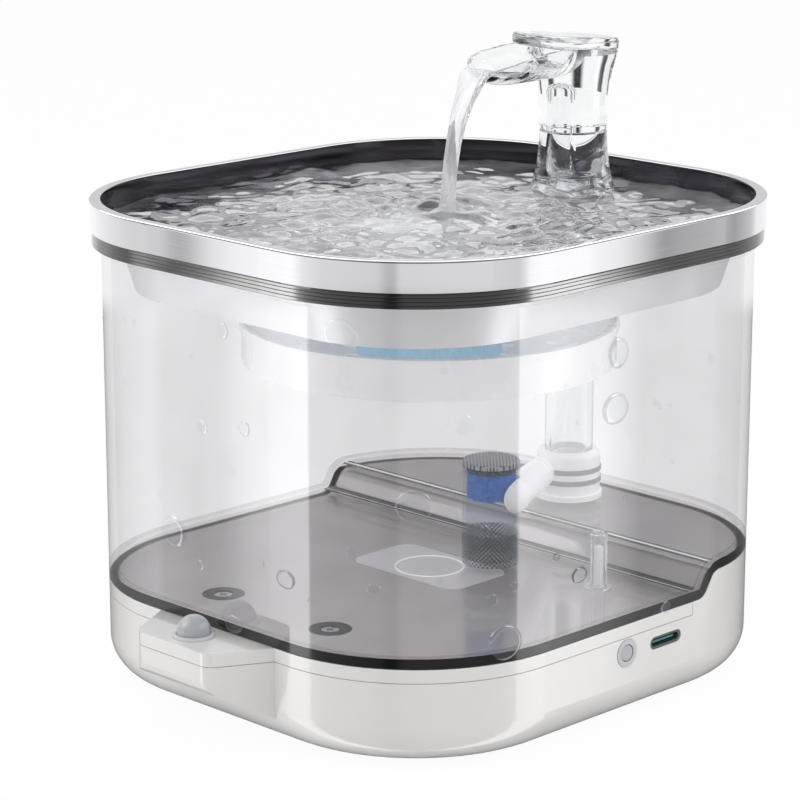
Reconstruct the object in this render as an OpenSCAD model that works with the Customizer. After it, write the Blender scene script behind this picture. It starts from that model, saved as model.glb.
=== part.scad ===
// Cordless pet water fountain: clear tank on a battery base, steel drinking tray, filter, pump, faucet.
// Millimetres, +Z up. The body plan is centred on X and Y and every height is counted from the base's
// underside; place() then moves the model so that its origin is the centre of its footprint, at the floor.
// +X is the side with the power button and charging socket, -Y the front with the motion sensor.

/* [Plan] */
// Width of the drinking tray over its rim
rim_w = 180; // [176:1:188]
// Depth of the drinking tray over its rim
rim_d = 192.7; // [188:0.1:200]
// Corner radius of the rim
rim_r = 58.5; // [57:0.5:60]
// How far the rim stands out past the tank wall
rim_overhang = 3.65; // [3.6:0.05:4]

/* [Base] */
// Height of the base at the front, to the face the tank stands on
base_h = 31.3; // [31.3:0.1:34]
// Height of the line between the base shell and its cover
seam_z = 27; // [26.6:0.1:27.2]
// Gap that shows as the line between shell and cover
seam_gap = 0.2; // [0.1:0.05:0.3]
// Rounding of the base's bottom edge
bottom_round = 12; // [10:0.5:12]
// Wall of the base shell and of its deck
base_wall = 2.5; // [2.2:0.1:2.8]
// Back edge of the loose cover, where the shell's own deck begins
cover_back_y = 31; // [29:0.5:31.5]
// Where the step in the deck starts to rise
step_y = 33.5; // [33:0.5:34.5]
// Height of the step
step_h = 7.9; // [7.6:0.1:8.2]
// Steepest slope of the step, in degrees
step_angle = 58; // [56:1:59]
// Radius of the hollow at the foot of the step
step_low_r = 5; // [5:0.5:6]
// Radius of the round at the head of the step
step_high_r = 4.5; // [4:0.5:5]

/* [Sensor pod] */
// Width of the pod where it meets the front wall
pod_w = 52; // [48:1:54]
// How far the pod stands out from the front wall
pod_out = 18.5; // [18:0.5:20]
// Slant of the pod's sides, in degrees
pod_slant = 28; // [26:1:30]
// Radius of the pod's two front corners
pod_r = 5; // [4:0.5:6]
// Height of the pod's underside at its front
pod_front_z = 18.5; // [17:0.5:19]
// Height of the pod's underside at the wall
pod_back_z = 9; // [8:0.5:11]
// Radius of the sensor's dome
dome_r = 5.3; // [5:0.1:5.6]
// Distance of the dome from the front wall
dome_out = 9.3; // [9:0.1:9.6]

/* [Button and socket] */
// Height of the button and the socket
port_z = 22; // [21.8:0.1:22.2]
// Place of the button along the side
button_y = -0.5; // [-2:0.5:0]
// Radius of the button's ring
bezel_r = 4.5; // [4.3:0.1:4.6]
// Radius of the button
button_r = 2.5; // [2.3:0.1:2.6]
// Travel of the button
button_travel = 0.8; // [0.5:0.1:0.8]
// Place of the charging socket along the side
socket_y = 18; // [17:0.5:19]
// Length of the socket's opening in the wall
socket_w = 14.8; // [13:0.2:15.4]
// Height of the socket's opening in the wall
socket_h = 4.1; // [3.9:0.1:4.3]

/* [Night light] */
// Length of the frosted window
window_w = 48; // [44:1:50]
// Width of the frosted window
window_d = 28; // [27:0.5:30]

/* [Tank] */
// Wall of the clear tank
tank_wall_t = 3; // [2.6:0.1:3.2]
// Thickness of the smoke-tinted floor
tank_floor_t = 2; // [1.8:0.1:2.4]
// Thickness of the floor's edge, on which the wall stands
floor_edge_t = 3.1; // [3:0.1:3.4]
// Height of the tank's flange, where the tray sits
flange_top = 145.3; // [140:0.1:150]
// How far the flange stands out past the tank wall
flange_out = 3; // [2.6:0.1:3]
// Height of the flange
flange_h = 4.6; // [4:0.2:6]

/* [Tray] */
// Height of the steel rim band
rim_h = 9.3; // [8:0.1:10]
// Thickness of the steel sheet
sheet = 0.8; // [0.6:0.1:1]
// Width of the rim's flat top
lip_w = 3; // [2.6:0.1:3.2]
// Depth of the tray, from its rim to its floor
tray_depth = 27.9; // [26:0.1:30]
// How far the tray's wall leans in on its way down
tray_lean = 6; // [4:0.5:7]

/* [Filter] */
// Radius of the filter bowl
bowl_r = 61; // [58:0.5:61]
// Height of the filter bowl's white part
bowl_h = 13.2; // [12:0.2:14]
// Height of the clear band that shows the blue sponge
band_h = 6.3; // [5.8:0.1:6.8]
// Height of the bowl's holder under the tray
holder_h = 5; // [4.6:0.1:5.4]
// Wall of the bowl
bowl_wall = 2; // [1.6:0.1:2.4]
// Radius of the filter layers under the drain
sponge_r = 23.5; // [20:0.5:28]
// Thickness of the blue sponge
sponge_h = 8.5; // [7:0.5:9]
// Thickness of the carbon layer
carbon_h = 4; // [3:0.5:5]
// Radius of the drain opening in the tray
drain_r = 24; // [22:0.5:26]
// Height of the overflow strainer above the tray floor
strainer_h = 17; // [14:0.5:18]

/* [Pump] */
// Distance of the pump and faucet from the centre
pump_y = 68; // [67.5:0.5:68.5]
// Radius of the pump housing
pump_r = 10.8; // [10.8:0.1:11.6]
// Height of the pump housing
pump_h = 16.6; // [16.2:0.2:17]
// Radius of the impeller
impeller_r = 8; // [7.6:0.1:8.4]
// Radius of the impeller's shaft
shaft_r = 1; // [0.9:0.05:1.1]
// Radius of the magnetic drive under the raised floor
stator_r = 14; // [13:0.5:14.5]
// Outer radius of the riser tube
riser_r = 8.1; // [7.9:0.1:8.3]
// Wall of the riser tube
riser_wall = 2; // [1.8:0.1:2.1]
// Radius of the nozzle at the top of the riser tube
nozzle_r = 5.6; // [5.2:0.1:5.6]
// Height where the riser tube narrows to its nozzle
riser_shoulder_z = 92; // [84:1:94]
// Place of the intake cage, left to right
cage_x = 16.6; // [15:0.1:18]
// Place of the intake cage, front to back
cage_y = 12; // [11:0.5:13]
// Radius of the intake cage
cage_r = 9.35; // [9:0.05:10]
// Height of the intake cage
cage_h = 34.5; // [33:0.5:35]

/* [Float] */
// Distance of the float from the tank's right side
float_in = 25.7; // [24:0.1:27]
// Place of the float, front to back
float_y = 15; // [13:0.5:16]
// Radius of the float pin
float_r = 1.5; // [1.4:0.05:1.7]
// Length of the float pin
float_len = 13.6; // [12:0.2:14]
// Travel of the float pin
float_travel = 3.5; // [2:0.5:4]

/* [Faucet] */
// Radius of the faucet's column
column_r = 11.3; // [11:0.1:11.8]
// Radius of the faucet's foot at its widest
foot_r = 14.8; // [14:0.1:15]
// Height of the joint between the foot and the spout
faucet_joint_z = 167.5; // [164:0.5:170]
// Height of the top of the column, under the lever plate
column_top_z = 192.8; // [190:0.2:196]
// Height of the axis of the spout's trough
trough_z = 196; // [194:0.2:198]
// Reach of the spout from the column's axis
spout_reach = 50; // [46:0.5:52]
// Outer radius of the spout's trough
spout_r = 12.4; // [12:0.1:13]
// Wall of the spout's trough
spout_wall = 2.2; // [1.8:0.1:2.6]
// Radius of the lever plate's round ends
lever_r = 12.5; // [11:0.5:13]
// Length of the lever plate
lever_len = 38; // [34:1:42]
// Tilt of the lever plate, in degrees
lever_tilt = 9; // [6:0.5:11]

/* [Hidden] */
$fn = 96;
eps = 0.01;
far = 400;

// Clearances, each between two named neighbours
seat_gap = 0.3;    // tank floor over the base deck, tray over the gasket
part_gap = 0.3;    // pieces of different moving bodies
fit_gap = 0.15;    // fixed pieces that slip into a recess
shaft_gap = 0.05;  // impeller on its shaft
foot_proud = 0.8;  // rubber feet below the base

// Body plan: base, tank and cover share it
body_w = rim_w - 2 * rim_overhang;
body_d = rim_d - 2 * rim_overhang;
body_r = rim_r - rim_overhang;
body_x = body_w / 2;
body_y = body_d / 2;
cover_z = seam_z + seam_gap / 2;      // underside of the cover's skirt
shell_top = seam_z - seam_gap / 2;    // top edge of the shell's front wall
deck_under = base_h - base_wall;      // underside of the front deck
cover_edge_y = cover_back_y - seam_gap;
floor_z = base_h + seat_gap + tank_floor_t;    // tank floor, in front of the step
deck_z = floor_z + step_h;                     // tank floor, behind the step

// Sensor pod
pod_y = -body_y - pod_out;
dome_y = -body_y - dome_out;
pod_wall = base_wall - 0.3;
sensor_board_x = 10;    // half length of the sensor's board

// Electronics
board_t = 1.6;
board_top = port_z - (socket_h / 2 - fit_gap);    // the socket stands on the board
switch_depth = 3.5;
switch_gap = 0.1;     // pressed button to the switch's plunger
button_back = 1.6;    // how far the button reaches in behind the wall
button_in = body_x - base_wall - button_back - button_travel;    // its inner end, pressed
screw_r = 1.5;
head_r = 2.8;
head_h = 1.6;
hatch_w = 56;
hatch_d = 92;
hatch_t = 2;
ledge = 9;
ledge_t = 2.5;
cover_post_z = deck_under - 2.5;
lip_x = body_x - body_r / 2;    // half length of the lip under the cover's back edge
screw_spots = [[-24.5, -68], [24.5, -68]];
washer_r = 6.7;
washer_t = 1.3;
foot_pad_r = 7;
foot_recess = 0.5;
window_t = 1.5;
window_spot = [1.5, -1];
cell_r = 9.15;
cell_x = body_x - 28.35;    // axis of the outer cell
battery_x = [-cell_x, 2 * cell_r + 1.2 - cell_x];
battery_mid = (battery_x[0] + battery_x[1]) / 2;
cell_len = 65;
cell_z = hatch_t + ledge_t + 1.4 + cell_r;
drive_board_z = base_h + step_h - base_wall - 14;

// Tray and rim
rim_top = flange_top + seat_gap + rim_h;
tray_floor = rim_top - tray_depth;
gasket_t = 0.7;
shoulder_z = flange_top + gasket_t + seat_gap;    // underside of the tray's shoulder
tray_r = body_r - tank_wall_t - 1.2;              // tray wall, measured at the corner, inside the tank
tray_cx = rim_w / 2 - rim_r;
tray_cy = rim_d / 2 - rim_r;

// Filter stack, counted down from the tray's underside
tray_under = tray_floor - sheet;
band_top = tray_under - holder_h;
bowl_top = band_top - part_gap - band_h;
bowl_bottom = bowl_top - bowl_h;
layer_gap = 0.3;
layers_z = bowl_bottom + bowl_wall;          // floor of the bowl, where the layers stand
carbon_z = layers_z + sponge_h + layer_gap;

// Pump stack, counted up from the raised tank floor
pump_top = deck_z + pump_h;
pump_wall = 1.5;
chamber_z = deck_z + pump_wall;
chamber_r = pump_r - pump_wall;
chamber_top = pump_top - 5;
nozzle_top = tray_floor + 25;
cage_top = floor_z + cage_h;
duct_r_cage = 5.8;
duct_r_pump = 5;
duct_wall = 1.8;
elbow_swell = 0.3;                            // the elbow's ball stands this much proud of the duct
duct_from = [cage_x + 7, cage_y + 2.5, deck_z + 15.3];
duct_to = [-6, pump_y - 5.5, deck_z + 8.6];
band_zs = [deck_z + 5.5, deck_z + 9.3];
pump_band_h = 1.7;

// Faucet
foot_z = tray_floor + 1.8;
foot_base_r = tray_cy + tray_r - tray_lean - sheet - pump_y - part_gap;    // clear of the tray's wall
spout_z = faucet_joint_z + part_gap;
bore_r = 4.7;
bore_over = 4;        // how far the bore reaches up into the trough
trough_tip_y = pump_y - spout_reach;

module place() translate([0, (body_y + pod_out - rim_d / 2) / 2, foot_proud]) children();

// Points of an arc round c, from angle a0 to a1 in n steps
function arc(c, r, a0, a1, n) =
    [for (i = [0 : n]) c + r * [cos(a0 + (a1 - a0) * i / n), sin(a0 + (a1 - a0) * i / n)]];

// Rounded rectangle with true arcs
module rounded_rect(w, d, r) {
    square([w - 2 * r, d], center = true);
    square([w, d - 2 * r], center = true);
    for (x = [-1, 1], y = [-1, 1])
        translate([x * (w / 2 - r), y * (d / 2 - r)]) circle(r);
}

// The body plan, drawn in by inset
module body_plan(inset = 0)
    rounded_rect(body_w - 2 * inset, body_d - 2 * inset, body_r - inset);

// Wall of even thickness between two insets of the body plan
module plan_ring(outer, inner, z0, z1)
    translate([0, 0, z0]) linear_extrude(z1 - z0)
        difference() {
            body_plan(outer);
            body_plan(inner);
        }

// Carries a profile, drawn as distance from the corner's axis against height, round a rounded rectangle
module round_plan(w, d, r) {
    cx = w / 2 - r;
    cy = d / 2 - r;
    for (turn = [[cx, cy, 0], [-cx, cy, 90], [-cx, -cy, 180], [cx, -cy, 270]])
        translate([turn[0], turn[1], 0]) rotate([0, 0, turn[2]]) rotate_extrude(angle = 90) children();
    for (side = [0, 1]) {
        mirror([side, 0, 0]) translate([cx, 0, 0]) rotate([90, 0, 0])
            linear_extrude(2 * cy, center = true) children();
        mirror([0, side, 0]) translate([0, cy, 0]) rotate([90, 0, 90])
            linear_extrude(2 * cx, center = true) children();
    }
}

// Solid with the body plan and a rounded bottom edge, from its bottom z0 to z1
module tub(inset, edge_r, z0, z1) {
    r = body_r - inset;
    w = body_w - 2 * inset;
    d = body_d - 2 * inset;
    round_plan(w, d, r) union() {
        translate([0, z0]) square([r - edge_r, z1 - z0]);
        translate([0, z0 + edge_r]) square([r, z1 - z0 - edge_r]);
        intersection() {
            translate([r - edge_r, z0 + edge_r]) circle(edge_r);
            translate([r - edge_r, z0]) square(edge_r);
        }
    }
    translate([0, 0, (z0 + z1) / 2]) cube([w - 2 * r, d - 2 * r, z1 - z0], center = true);
}

// Side view of all that lies below the stepped deck, with the deck raised by t
function step_points(t) =
    let (rise = (step_low_r + step_high_r) * (1 - cos(step_angle)),
         run = (step_low_r + step_high_r) * sin(step_angle) + (step_h - rise) / tan(step_angle),
         low = [step_y, base_h + step_low_r],
         high = [step_y + run, base_h + step_h - step_high_r])
    concat([[-far, -far], [-far, base_h + t]],
        arc(low, step_low_r - t, -90, step_angle - 90, 8),
        arc(high, step_high_r + t, 90 + step_angle, 90, 8),
        [[far, base_h + step_h + t], [far, -far]]);

module below_step(t) rotate([90, 0, 90]) linear_extrude(far, center = true) polygon(step_points(t));

module between_steps(t0, t1) difference() {
    below_step(t1);
    below_step(t0);
}

// Everything in front of y, from z0 to z1
module front_of(y, z0, z1) translate([-far / 2, y - far, z0]) cube([far, far, z1 - z0]);

// Plan of the sensor pod, drawn in by inset, with its back buried in the base
module pod_plan(inset = 0) {
    r = pod_r - inset;
    half = pod_w / 2 - pod_out * tan(pod_slant) - pod_r / tan((90 + pod_slant) / 2);
    centre = [half, pod_y + pod_r];
    right = arc(centre, r, -90, -pod_slant, 6);
    edge = right[len(right) - 1];
    back = [edge[0] + (-body_y + 8 - edge[1]) * tan(pod_slant), -body_y + 8];
    points = concat(right, [back]);
    polygon(concat(points, [for (i = [len(points) - 1 : -1 : 0]) [-points[i][0], points[i][1]]]));
}

// Space under the pod's slanted underside, raised by t
module under_pod(t) rotate([90, 0, 90]) linear_extrude(far, center = true)
    polygon([[pod_y - 5, -5], [pod_y - 5, pod_front_z + 3 + t], [pod_y, pod_front_z + 3 + t],
        [pod_y + 0.7, pod_front_z + 1 + t], [pod_y + 2.2, pod_front_z - 0.6 + t],
        [-body_y, pod_back_z + t], [-body_y, -5]]);

module rod(from, to, r1, r2) {
    v = to - from;
    translate(from) rotate([0, acos(v[2] / norm(v)), atan2(v[1], v[0])])
        cylinder(h = norm(v), r1 = r1, r2 = r2);
}

module tube(r_out, r_in, z0, z1) translate([0, 0, z0]) difference() {
    cylinder(h = z1 - z0, r = r_out);
    translate([0, 0, -eps]) cylinder(h = z1 - z0 + 2 * eps, r = r_in);
}

module disc(r, z0, z1) translate([0, 0, z0]) cylinder(h = z1 - z0, r = r);

module block(x0, x1, y0, y1, z0, z1) translate([x0, y0, z0]) cube([x1 - x0, y1 - y0, z1 - z0]);

// Slot with round ends, lying along Y in a wall that faces +X
module slot_x(w, h, x0, x1) translate([x0, 0, 0]) rotate([90, 0, 90]) linear_extrude(x1 - x0) {
    square([w - h, h], center = true);
    for (s = [-1, 1]) translate([s * (w - h) / 2, 0]) circle(h / 2);
}

// ---- Base ----

hatch_screw_spots = [for (x = [-1, 1], y = [-1, 1])
    [battery_mid + x * (hatch_w / 2 - 5), y * (hatch_d / 2 - 5)]];
foot_spots = [for (x = [-1, 1], y = [-1, 1])
    [x * (body_x - bottom_round - 18), y * (body_y - bottom_round - 19)]];

board_w = 47.25;
board_x1 = body_x - base_wall - 0.6;
board_x0 = board_x1 - board_w;
board_y0 = button_y - 13;
board_y1 = socket_y + 16;
board_posts = [for (x = [board_x0 + 4, board_x1 - 4], y = [board_y0 + 4, board_y1 - 4]) [x, y]];
drive_posts = [for (a = [30, 150, 270]) [11.5 * cos(a), pump_y + 11.5 * sin(a)]];
pod_posts = [for (x = [-7, 7]) [x, dome_y + 3]];

module base_posts() {
    for (p = screw_spots) translate([p[0], p[1], 0]) difference() {
        disc(4.5, 0, cover_post_z);
        disc(screw_r, cover_post_z - 12, cover_post_z + 1);
    }
    for (p = board_posts) translate([p[0], p[1], 0]) difference() {
        disc(3, 0, board_top - board_t);
        disc(1, board_top - board_t - 6, board_top);
    }
    for (p = drive_posts) translate([p[0], p[1], 0]) disc(2.6, 0, drive_board_z);
    for (p = pod_posts) translate([p[0], p[1], 0]) disc(1.8, 0, seam_z - 4.5);
    for (p = hatch_screw_spots) translate([p[0], p[1], 0]) difference() {
        disc(4, 0, hatch_t + 8);
        disc(screw_r, -1, hatch_t + 7);
    }
}

module base_shell() color([0.93, 0.92, 0.90]) place() difference() {
    union() {
        intersection() {
            tub(0, bottom_round, 0, base_h + step_h);
            below_step(0);
        }
        difference() {
            translate([0, 0, pod_back_z]) linear_extrude(shell_top - pod_back_z) pod_plan();
            under_pod(0);
        }
    }
    difference() {
        union() {
            intersection() {
                tub(base_wall, bottom_round - base_wall, base_wall, base_h + step_h);
                below_step(-base_wall);
            }
            difference() {
                translate([0, 0, pod_back_z]) linear_extrude(base_h) pod_plan(pod_wall);
                under_pod(pod_wall + 1);
            }
        }
        base_posts();
        translate([battery_mid, 0, hatch_t]) linear_extrude(ledge_t)
            rounded_rect(hatch_w + 5, hatch_d + 5, 8);
        block(-lip_x, lip_x, cover_back_y - 4, step_y + 1, deck_under - 1.6, deck_under + eps);
    }
    front_of(cover_back_y, shell_top, base_h + 5);
    translate([battery_mid, 0, -1]) {
        linear_extrude(hatch_t + ledge_t + 2) rounded_rect(hatch_w - 2 * ledge, hatch_d - 2 * ledge, 4);
        linear_extrude(hatch_t + 1) rounded_rect(hatch_w, hatch_d, 6);
    }
    for (p = hatch_screw_spots) translate([p[0], p[1], -1]) cylinder(h = hatch_t + 8, r = screw_r);
    for (p = foot_spots) translate([p[0], p[1], 0]) disc(foot_pad_r + fit_gap, -1, foot_recess);
    translate([0, button_y, port_z]) rotate([0, 90, 0])
        disc(bezel_r + fit_gap / 2, body_x - base_wall - 1, far);
    translate([0, socket_y, port_z]) slot_x(socket_w, socket_h, body_x - base_wall - 1, body_x + 1);
}

module base_cover() color([0.95, 0.94, 0.92]) place() difference() {
    union() {
        difference() {
            union() {
                intersection() {
                    translate([0, 0, cover_z]) linear_extrude(base_h - cover_z) body_plan();
                    front_of(cover_edge_y, 0, base_h);
                }
                translate([0, 0, cover_z]) linear_extrude(base_h - cover_z) pod_plan();
            }
            intersection() {
                linear_extrude(deck_under) body_plan(base_wall);
                front_of(cover_edge_y + 1, 0, base_h);
            }
            linear_extrude(deck_under) pod_plan(pod_wall);
        }
        intersection() {
            plan_ring(base_wall + fit_gap, base_wall + 1.5, cover_z - 1.2, deck_under + eps);
            difference() {
                front_of(cover_back_y - 4.5, 0, base_h);
                block(-pod_w / 2, pod_w / 2, -far, 0, 0, far);
            }
        }
        for (p = screw_spots) translate([p[0], p[1], 0]) disc(5.5, cover_post_z, deck_under + eps);
        for (x = [-10, 10]) translate([window_spot[0] + x, window_spot[1] - 11, 0])
            disc(2, cover_post_z, deck_under + eps);
    }
    for (p = screw_spots) translate([p[0], p[1], 0]) {
        disc(washer_r + fit_gap, base_h - washer_t, far);
        disc(head_r + 0.2, base_h - head_h - 0.2, far);
        disc(screw_r + 0.2, 0, far);
    }
    translate([window_spot[0], window_spot[1], base_h - window_t])
        linear_extrude(10) rounded_rect(window_w, window_d, 6);
    translate([window_spot[0], window_spot[1], 0]) disc(12, 0, far);
    translate([0, dome_y, 0]) disc(dome_r + fit_gap, 0, far);
}

module battery_hatch() color([0.86, 0.85, 0.83]) place() difference() {
    translate([battery_mid, 0, 0]) linear_extrude(hatch_t)
        rounded_rect(hatch_w - 2 * fit_gap, hatch_d - 2 * fit_gap, 6 - fit_gap);
    for (p = hatch_screw_spots) translate([p[0], p[1], 0]) {
        disc(screw_r + 0.2, -1, 10);
        disc(head_r + 0.2, -1, hatch_t - 0.8);
    }
}

module hatch_screws() color("silver") place()
    for (p = hatch_screw_spots) translate([p[0], p[1], 0]) {
        disc(head_r, 0.1, hatch_t - 0.8);
        disc(screw_r - 0.05, hatch_t - 0.8 - eps, hatch_t + 6);
    }

module rubber_feet() color([0.25, 0.25, 0.26]) place()
    for (p = foot_spots) translate([p[0], p[1], 0]) disc(foot_pad_r, -foot_proud, foot_recess);

module cover_screws() color([0.80, 0.80, 0.82]) place()
    for (p = screw_spots) translate([p[0], p[1], 0]) difference() {
        union() {
            disc(head_r, base_h - head_h - 0.2, base_h - 0.3);
            disc(screw_r - 0.05, cover_post_z - 10, base_h - head_h);
        }
        for (a = [0, 90]) rotate([0, 0, a]) block(-1.6, 1.6, -0.35, 0.35, base_h - 1.1, base_h);
    }

module screw_washers() color([0.28, 0.28, 0.30]) place()
    for (p = screw_spots) translate([p[0], p[1], 0]) tube(washer_r, head_r + 0.25, base_h - washer_t, base_h);

module light_window() color([0.88, 0.89, 0.90]) place() translate([window_spot[0], window_spot[1], 0]) {
    translate([0, 0, base_h - window_t]) linear_extrude(window_t)
        rounded_rect(window_w - 2 * fit_gap, window_d - 2 * fit_gap, 6 - fit_gap);
    tube(12 - fit_gap, 10.4, cover_post_z + 1, base_h - window_t + eps);
}

module light_board() color([0.10, 0.35, 0.20]) place() translate([window_spot[0], window_spot[1], 0])
    block(-16, 16, -14, 12, cover_post_z - board_t, cover_post_z);

module light_leds() color([0.96, 0.95, 0.80]) place() translate([window_spot[0], window_spot[1], 0])
    for (a = [0 : 60 : 300]) rotate([0, 0, a]) block(6.2, 8.4, -0.9, 0.9, cover_post_z, cover_post_z + 0.7);

module pir_dome() color([0.62, 0.62, 0.65]) place() translate([0, dome_y, 0]) difference() {
    union() {
        translate([0, 0, base_h + 1.4]) sphere(dome_r);
        disc(dome_r, deck_under - 1, base_h + 1.4);
        disc(dome_r + 1.4, deck_under - 1.5, deck_under - 0.1);
    }
    translate([0, 0, base_h + 1.4]) sphere(dome_r - 0.9);
    disc(dome_r - 0.9, 0, base_h + 1.4);
    disc(far, -10, deck_under - 1.5);
}

module pir_collar() color([0.80, 0.80, 0.80]) place() translate([0, dome_y, 0])
    rotate_extrude() polygon([
        [dome_r + fit_gap, base_h], [dome_r + 1.4, base_h], [dome_r + 1.2, base_h + 0.5],
        [dome_r + 0.7, base_h + 0.9], [dome_r + fit_gap, base_h + 1]]);

module pir_sensor() color([0.75, 0.75, 0.72]) place() translate([0, dome_y, 0]) {
    disc(3.1, seam_z - 4.5 + board_t, base_h + 2.5);
    disc(3.6, seam_z - 4.5 + board_t, seam_z - 4.5 + board_t + 0.8);
}

module sensor_board() color([0.10, 0.35, 0.20]) place() translate([0, dome_y, 0])
    block(-sensor_board_x, sensor_board_x, -sensor_board_x / 2, sensor_board_x / 2 + 2, seam_z - 4.5,
        seam_z - 4.5 + board_t);

module control_board() color([0.10, 0.35, 0.20]) place() difference() {
    block(board_x0, board_x1, board_y0, board_y1, board_top - board_t, board_top);
    for (p = board_posts) translate([p[0], p[1], 0]) disc(1.2, 0, far);
    block(button_in - 1, far, button_y - button_r - 2, button_y + button_r + 2, 0, far);
}

module board_screws() color("silver") place()
    for (p = board_posts) translate([p[0], p[1], 0]) {
        disc(2.2, board_top, board_top + 1.4);
        disc(0.95, board_top - board_t - 5, board_top + eps);
    }

module battery_cells() color([0.20, 0.45, 0.75]) place()
    for (x = battery_x) translate([x, 0, cell_z]) rotate([90, 0, 0]) {
        translate([0, 0, -cell_len / 2]) cylinder(h = cell_len, r = cell_r);
        translate([0, 0, cell_len / 2]) cylinder(h = 1.2, r = 3);
    }

module battery_holder() color([0.20, 0.20, 0.21]) place() difference() {
    block(battery_x[0] - 11, battery_x[1] + 11, -cell_len / 2 - 3.2, cell_len / 2 + 2,
        hatch_t + ledge_t, cell_z);
    block(battery_x[0] - 9.5, battery_x[1] + 9.5, -cell_len / 2 - 1.5, cell_len / 2 + 0.3,
        cell_z - cell_r - 0.2, far);
}

module tact_switch() color([0.12, 0.12, 0.13]) place() translate([body_x - base_wall, button_y, 0]) {
    block(-8.5, -8.5 + switch_depth, -3, 3, board_top, board_top + 5);
    translate([0, 0, port_z]) rotate([0, 90, 0])
        disc(1.6, -8.5 + switch_depth - eps, -button_back - button_travel - switch_gap);
}

module button_bezel() color([0.78, 0.78, 0.79]) place() translate([0, button_y, port_z]) rotate([0, 90, 0])
    tube(bezel_r, button_r + part_gap, body_x - base_wall, body_x + 0.25);

module power_button() color([0.72, 0.72, 0.74]) place() translate([0, button_y, port_z]) rotate([0, 90, 0]) {
    disc(button_r, body_x - base_wall - button_back, body_x + 0.1);
    disc(button_r + 1, body_x - base_wall - button_back + 0.4, body_x - base_wall - part_gap);
}

module usb_c_socket() color([0.25, 0.26, 0.27]) place() translate([0, socket_y, port_z]) difference() {
    slot_x(socket_w - 2 * fit_gap, socket_h - 2 * fit_gap, body_x - 11, body_x - 0.3);
    slot_x(socket_w - 2 * fit_gap - 1.8, socket_h - 2 * fit_gap - 1.4, body_x - 8.5, body_x + 1);
}

module usb_c_tongue() color([0.15, 0.42, 0.42]) place() translate([0, socket_y, port_z])
    block(body_x - 8.5, body_x - 1.2, -5, 5, -0.35, 0.35);

module drive_board() color([0.10, 0.35, 0.20]) place() translate([0, pump_y, 0])
    disc(stator_r, drive_board_z, drive_board_z + board_t);

drive_spots = [for (a = [0 : 60 : 300]) stator_r * 2 / 3 * [cos(a), sin(a)] + [0, pump_y]];
drive_top = base_h + step_h - base_wall - 0.5;

module stator_core() color([0.55, 0.55, 0.58]) place() {
    translate([0, pump_y, 0]) disc(stator_r - 0.5, drive_board_z + board_t, drive_board_z + board_t + 1.5);
    for (p = drive_spots) translate([p[0], p[1], 0]) disc(1.8, drive_board_z + board_t, drive_top);
}

module drive_coils() color([0.75, 0.42, 0.20]) place()
    for (p = drive_spots) translate([p[0], p[1], 0])
        tube(4.1, 1.9, drive_board_z + board_t + 1.5, drive_top - 0.6);

module level_sensor() color([0.15, 0.15, 0.16]) place() translate([float_x, float_y, 0])
    block(-2, 2, -1.5, 1.5, board_top, deck_under - 0.3);

// ---- Tank ----

module tank_floor() color([0.35, 0.35, 0.38, 0.6]) place() {
    intersection() {
        linear_extrude(far) body_plan();
        between_steps(seat_gap, seat_gap + tank_floor_t);
    }
    intersection() {
        plan_ring(0, tank_wall_t, 0, far);
        between_steps(seat_gap, seat_gap + floor_edge_t);
    }
    translate([0, pump_y, 0]) tube(pump_r + 3, pump_r + 1.2, deck_z - eps, deck_z + 1.2);
}

rib_h = 0.65;
rib_count = 3;

module tank_wall() color([0.85, 0.90, 0.93, 0.35]) place() {
    difference() {
        plan_ring(0, tank_wall_t, base_h, flange_top);
        below_step(seat_gap + floor_edge_t);
    }
    plan_ring(-flange_out / 2, tank_wall_t / 2, flange_top - flange_h - 1.8, flange_top - flange_h + eps);
    difference() {
        plan_ring(-flange_out, tank_wall_t / 2, flange_top - flange_h, flange_top);
        for (i = [1 : rib_count])
            plan_ring(-flange_out - 1, -flange_out + 0.6, flange_top - i * 2 * rib_h + rib_h / 2,
                flange_top - i * 2 * rib_h + rib_h * 1.5);
    }
}

module tank_gasket() color([0.30, 0.30, 0.32]) place()
    plan_ring(-flange_out + 1, tank_wall_t - 0.4, flange_top, flange_top + gasket_t);

float_x = body_x - float_in;
guide_in = float_r + 0.55;
guide_out = guide_in + 0.7;
guide_top = floor_z + 0.2 + float_len + float_travel + 1.1;

module float_guide() color([0.85, 0.90, 0.93, 0.5]) place() translate([float_x, float_y, 0]) difference() {
    union() {
        disc(guide_out, floor_z, guide_top);
        disc(guide_out + 1.6, floor_z, floor_z + 1);
    }
    disc(guide_in, floor_z - 1, guide_top - 0.7);
    for (a = [45, 135]) rotate([0, 0, a])
        block(-0.7, 0.7, -far, far, floor_z + 1.6, guide_top - 2.4);
}

module float_pin() color([0.96, 0.96, 0.96]) place() translate([float_x, float_y, 0]) difference() {
    disc(float_r, floor_z + 0.2, floor_z + 0.2 + float_len);
    disc(float_r - 0.6, floor_z - 1, floor_z + 4.2);
}

module float_magnet() color([0.45, 0.45, 0.48]) place() translate([float_x, float_y, 0])
    disc(float_r - 0.65, floor_z + 0.3, floor_z + 4.2);

// ---- Pump ----

module pump_housing() color([0.95, 0.95, 0.96]) place() translate([0, pump_y, 0]) difference() {
    rotate_extrude() polygon(concat(
        [[0, deck_z + pump_wall + part_gap], [pump_r, deck_z + pump_wall + part_gap]],
        arc([pump_r - 2.2, pump_top - 2.2], 2.2, 0, 90, 8), [[0, pump_top]]));
    disc(chamber_r, 0, chamber_top);
    disc(nozzle_r, 0, far);
    disc(riser_r + fit_gap, pump_top - 1.6, far);
    for (z = band_zs) tube(far, pump_r - 0.7, z, z + pump_band_h);
    translate([0, -pump_y, 0]) duct_bore();
}

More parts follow.
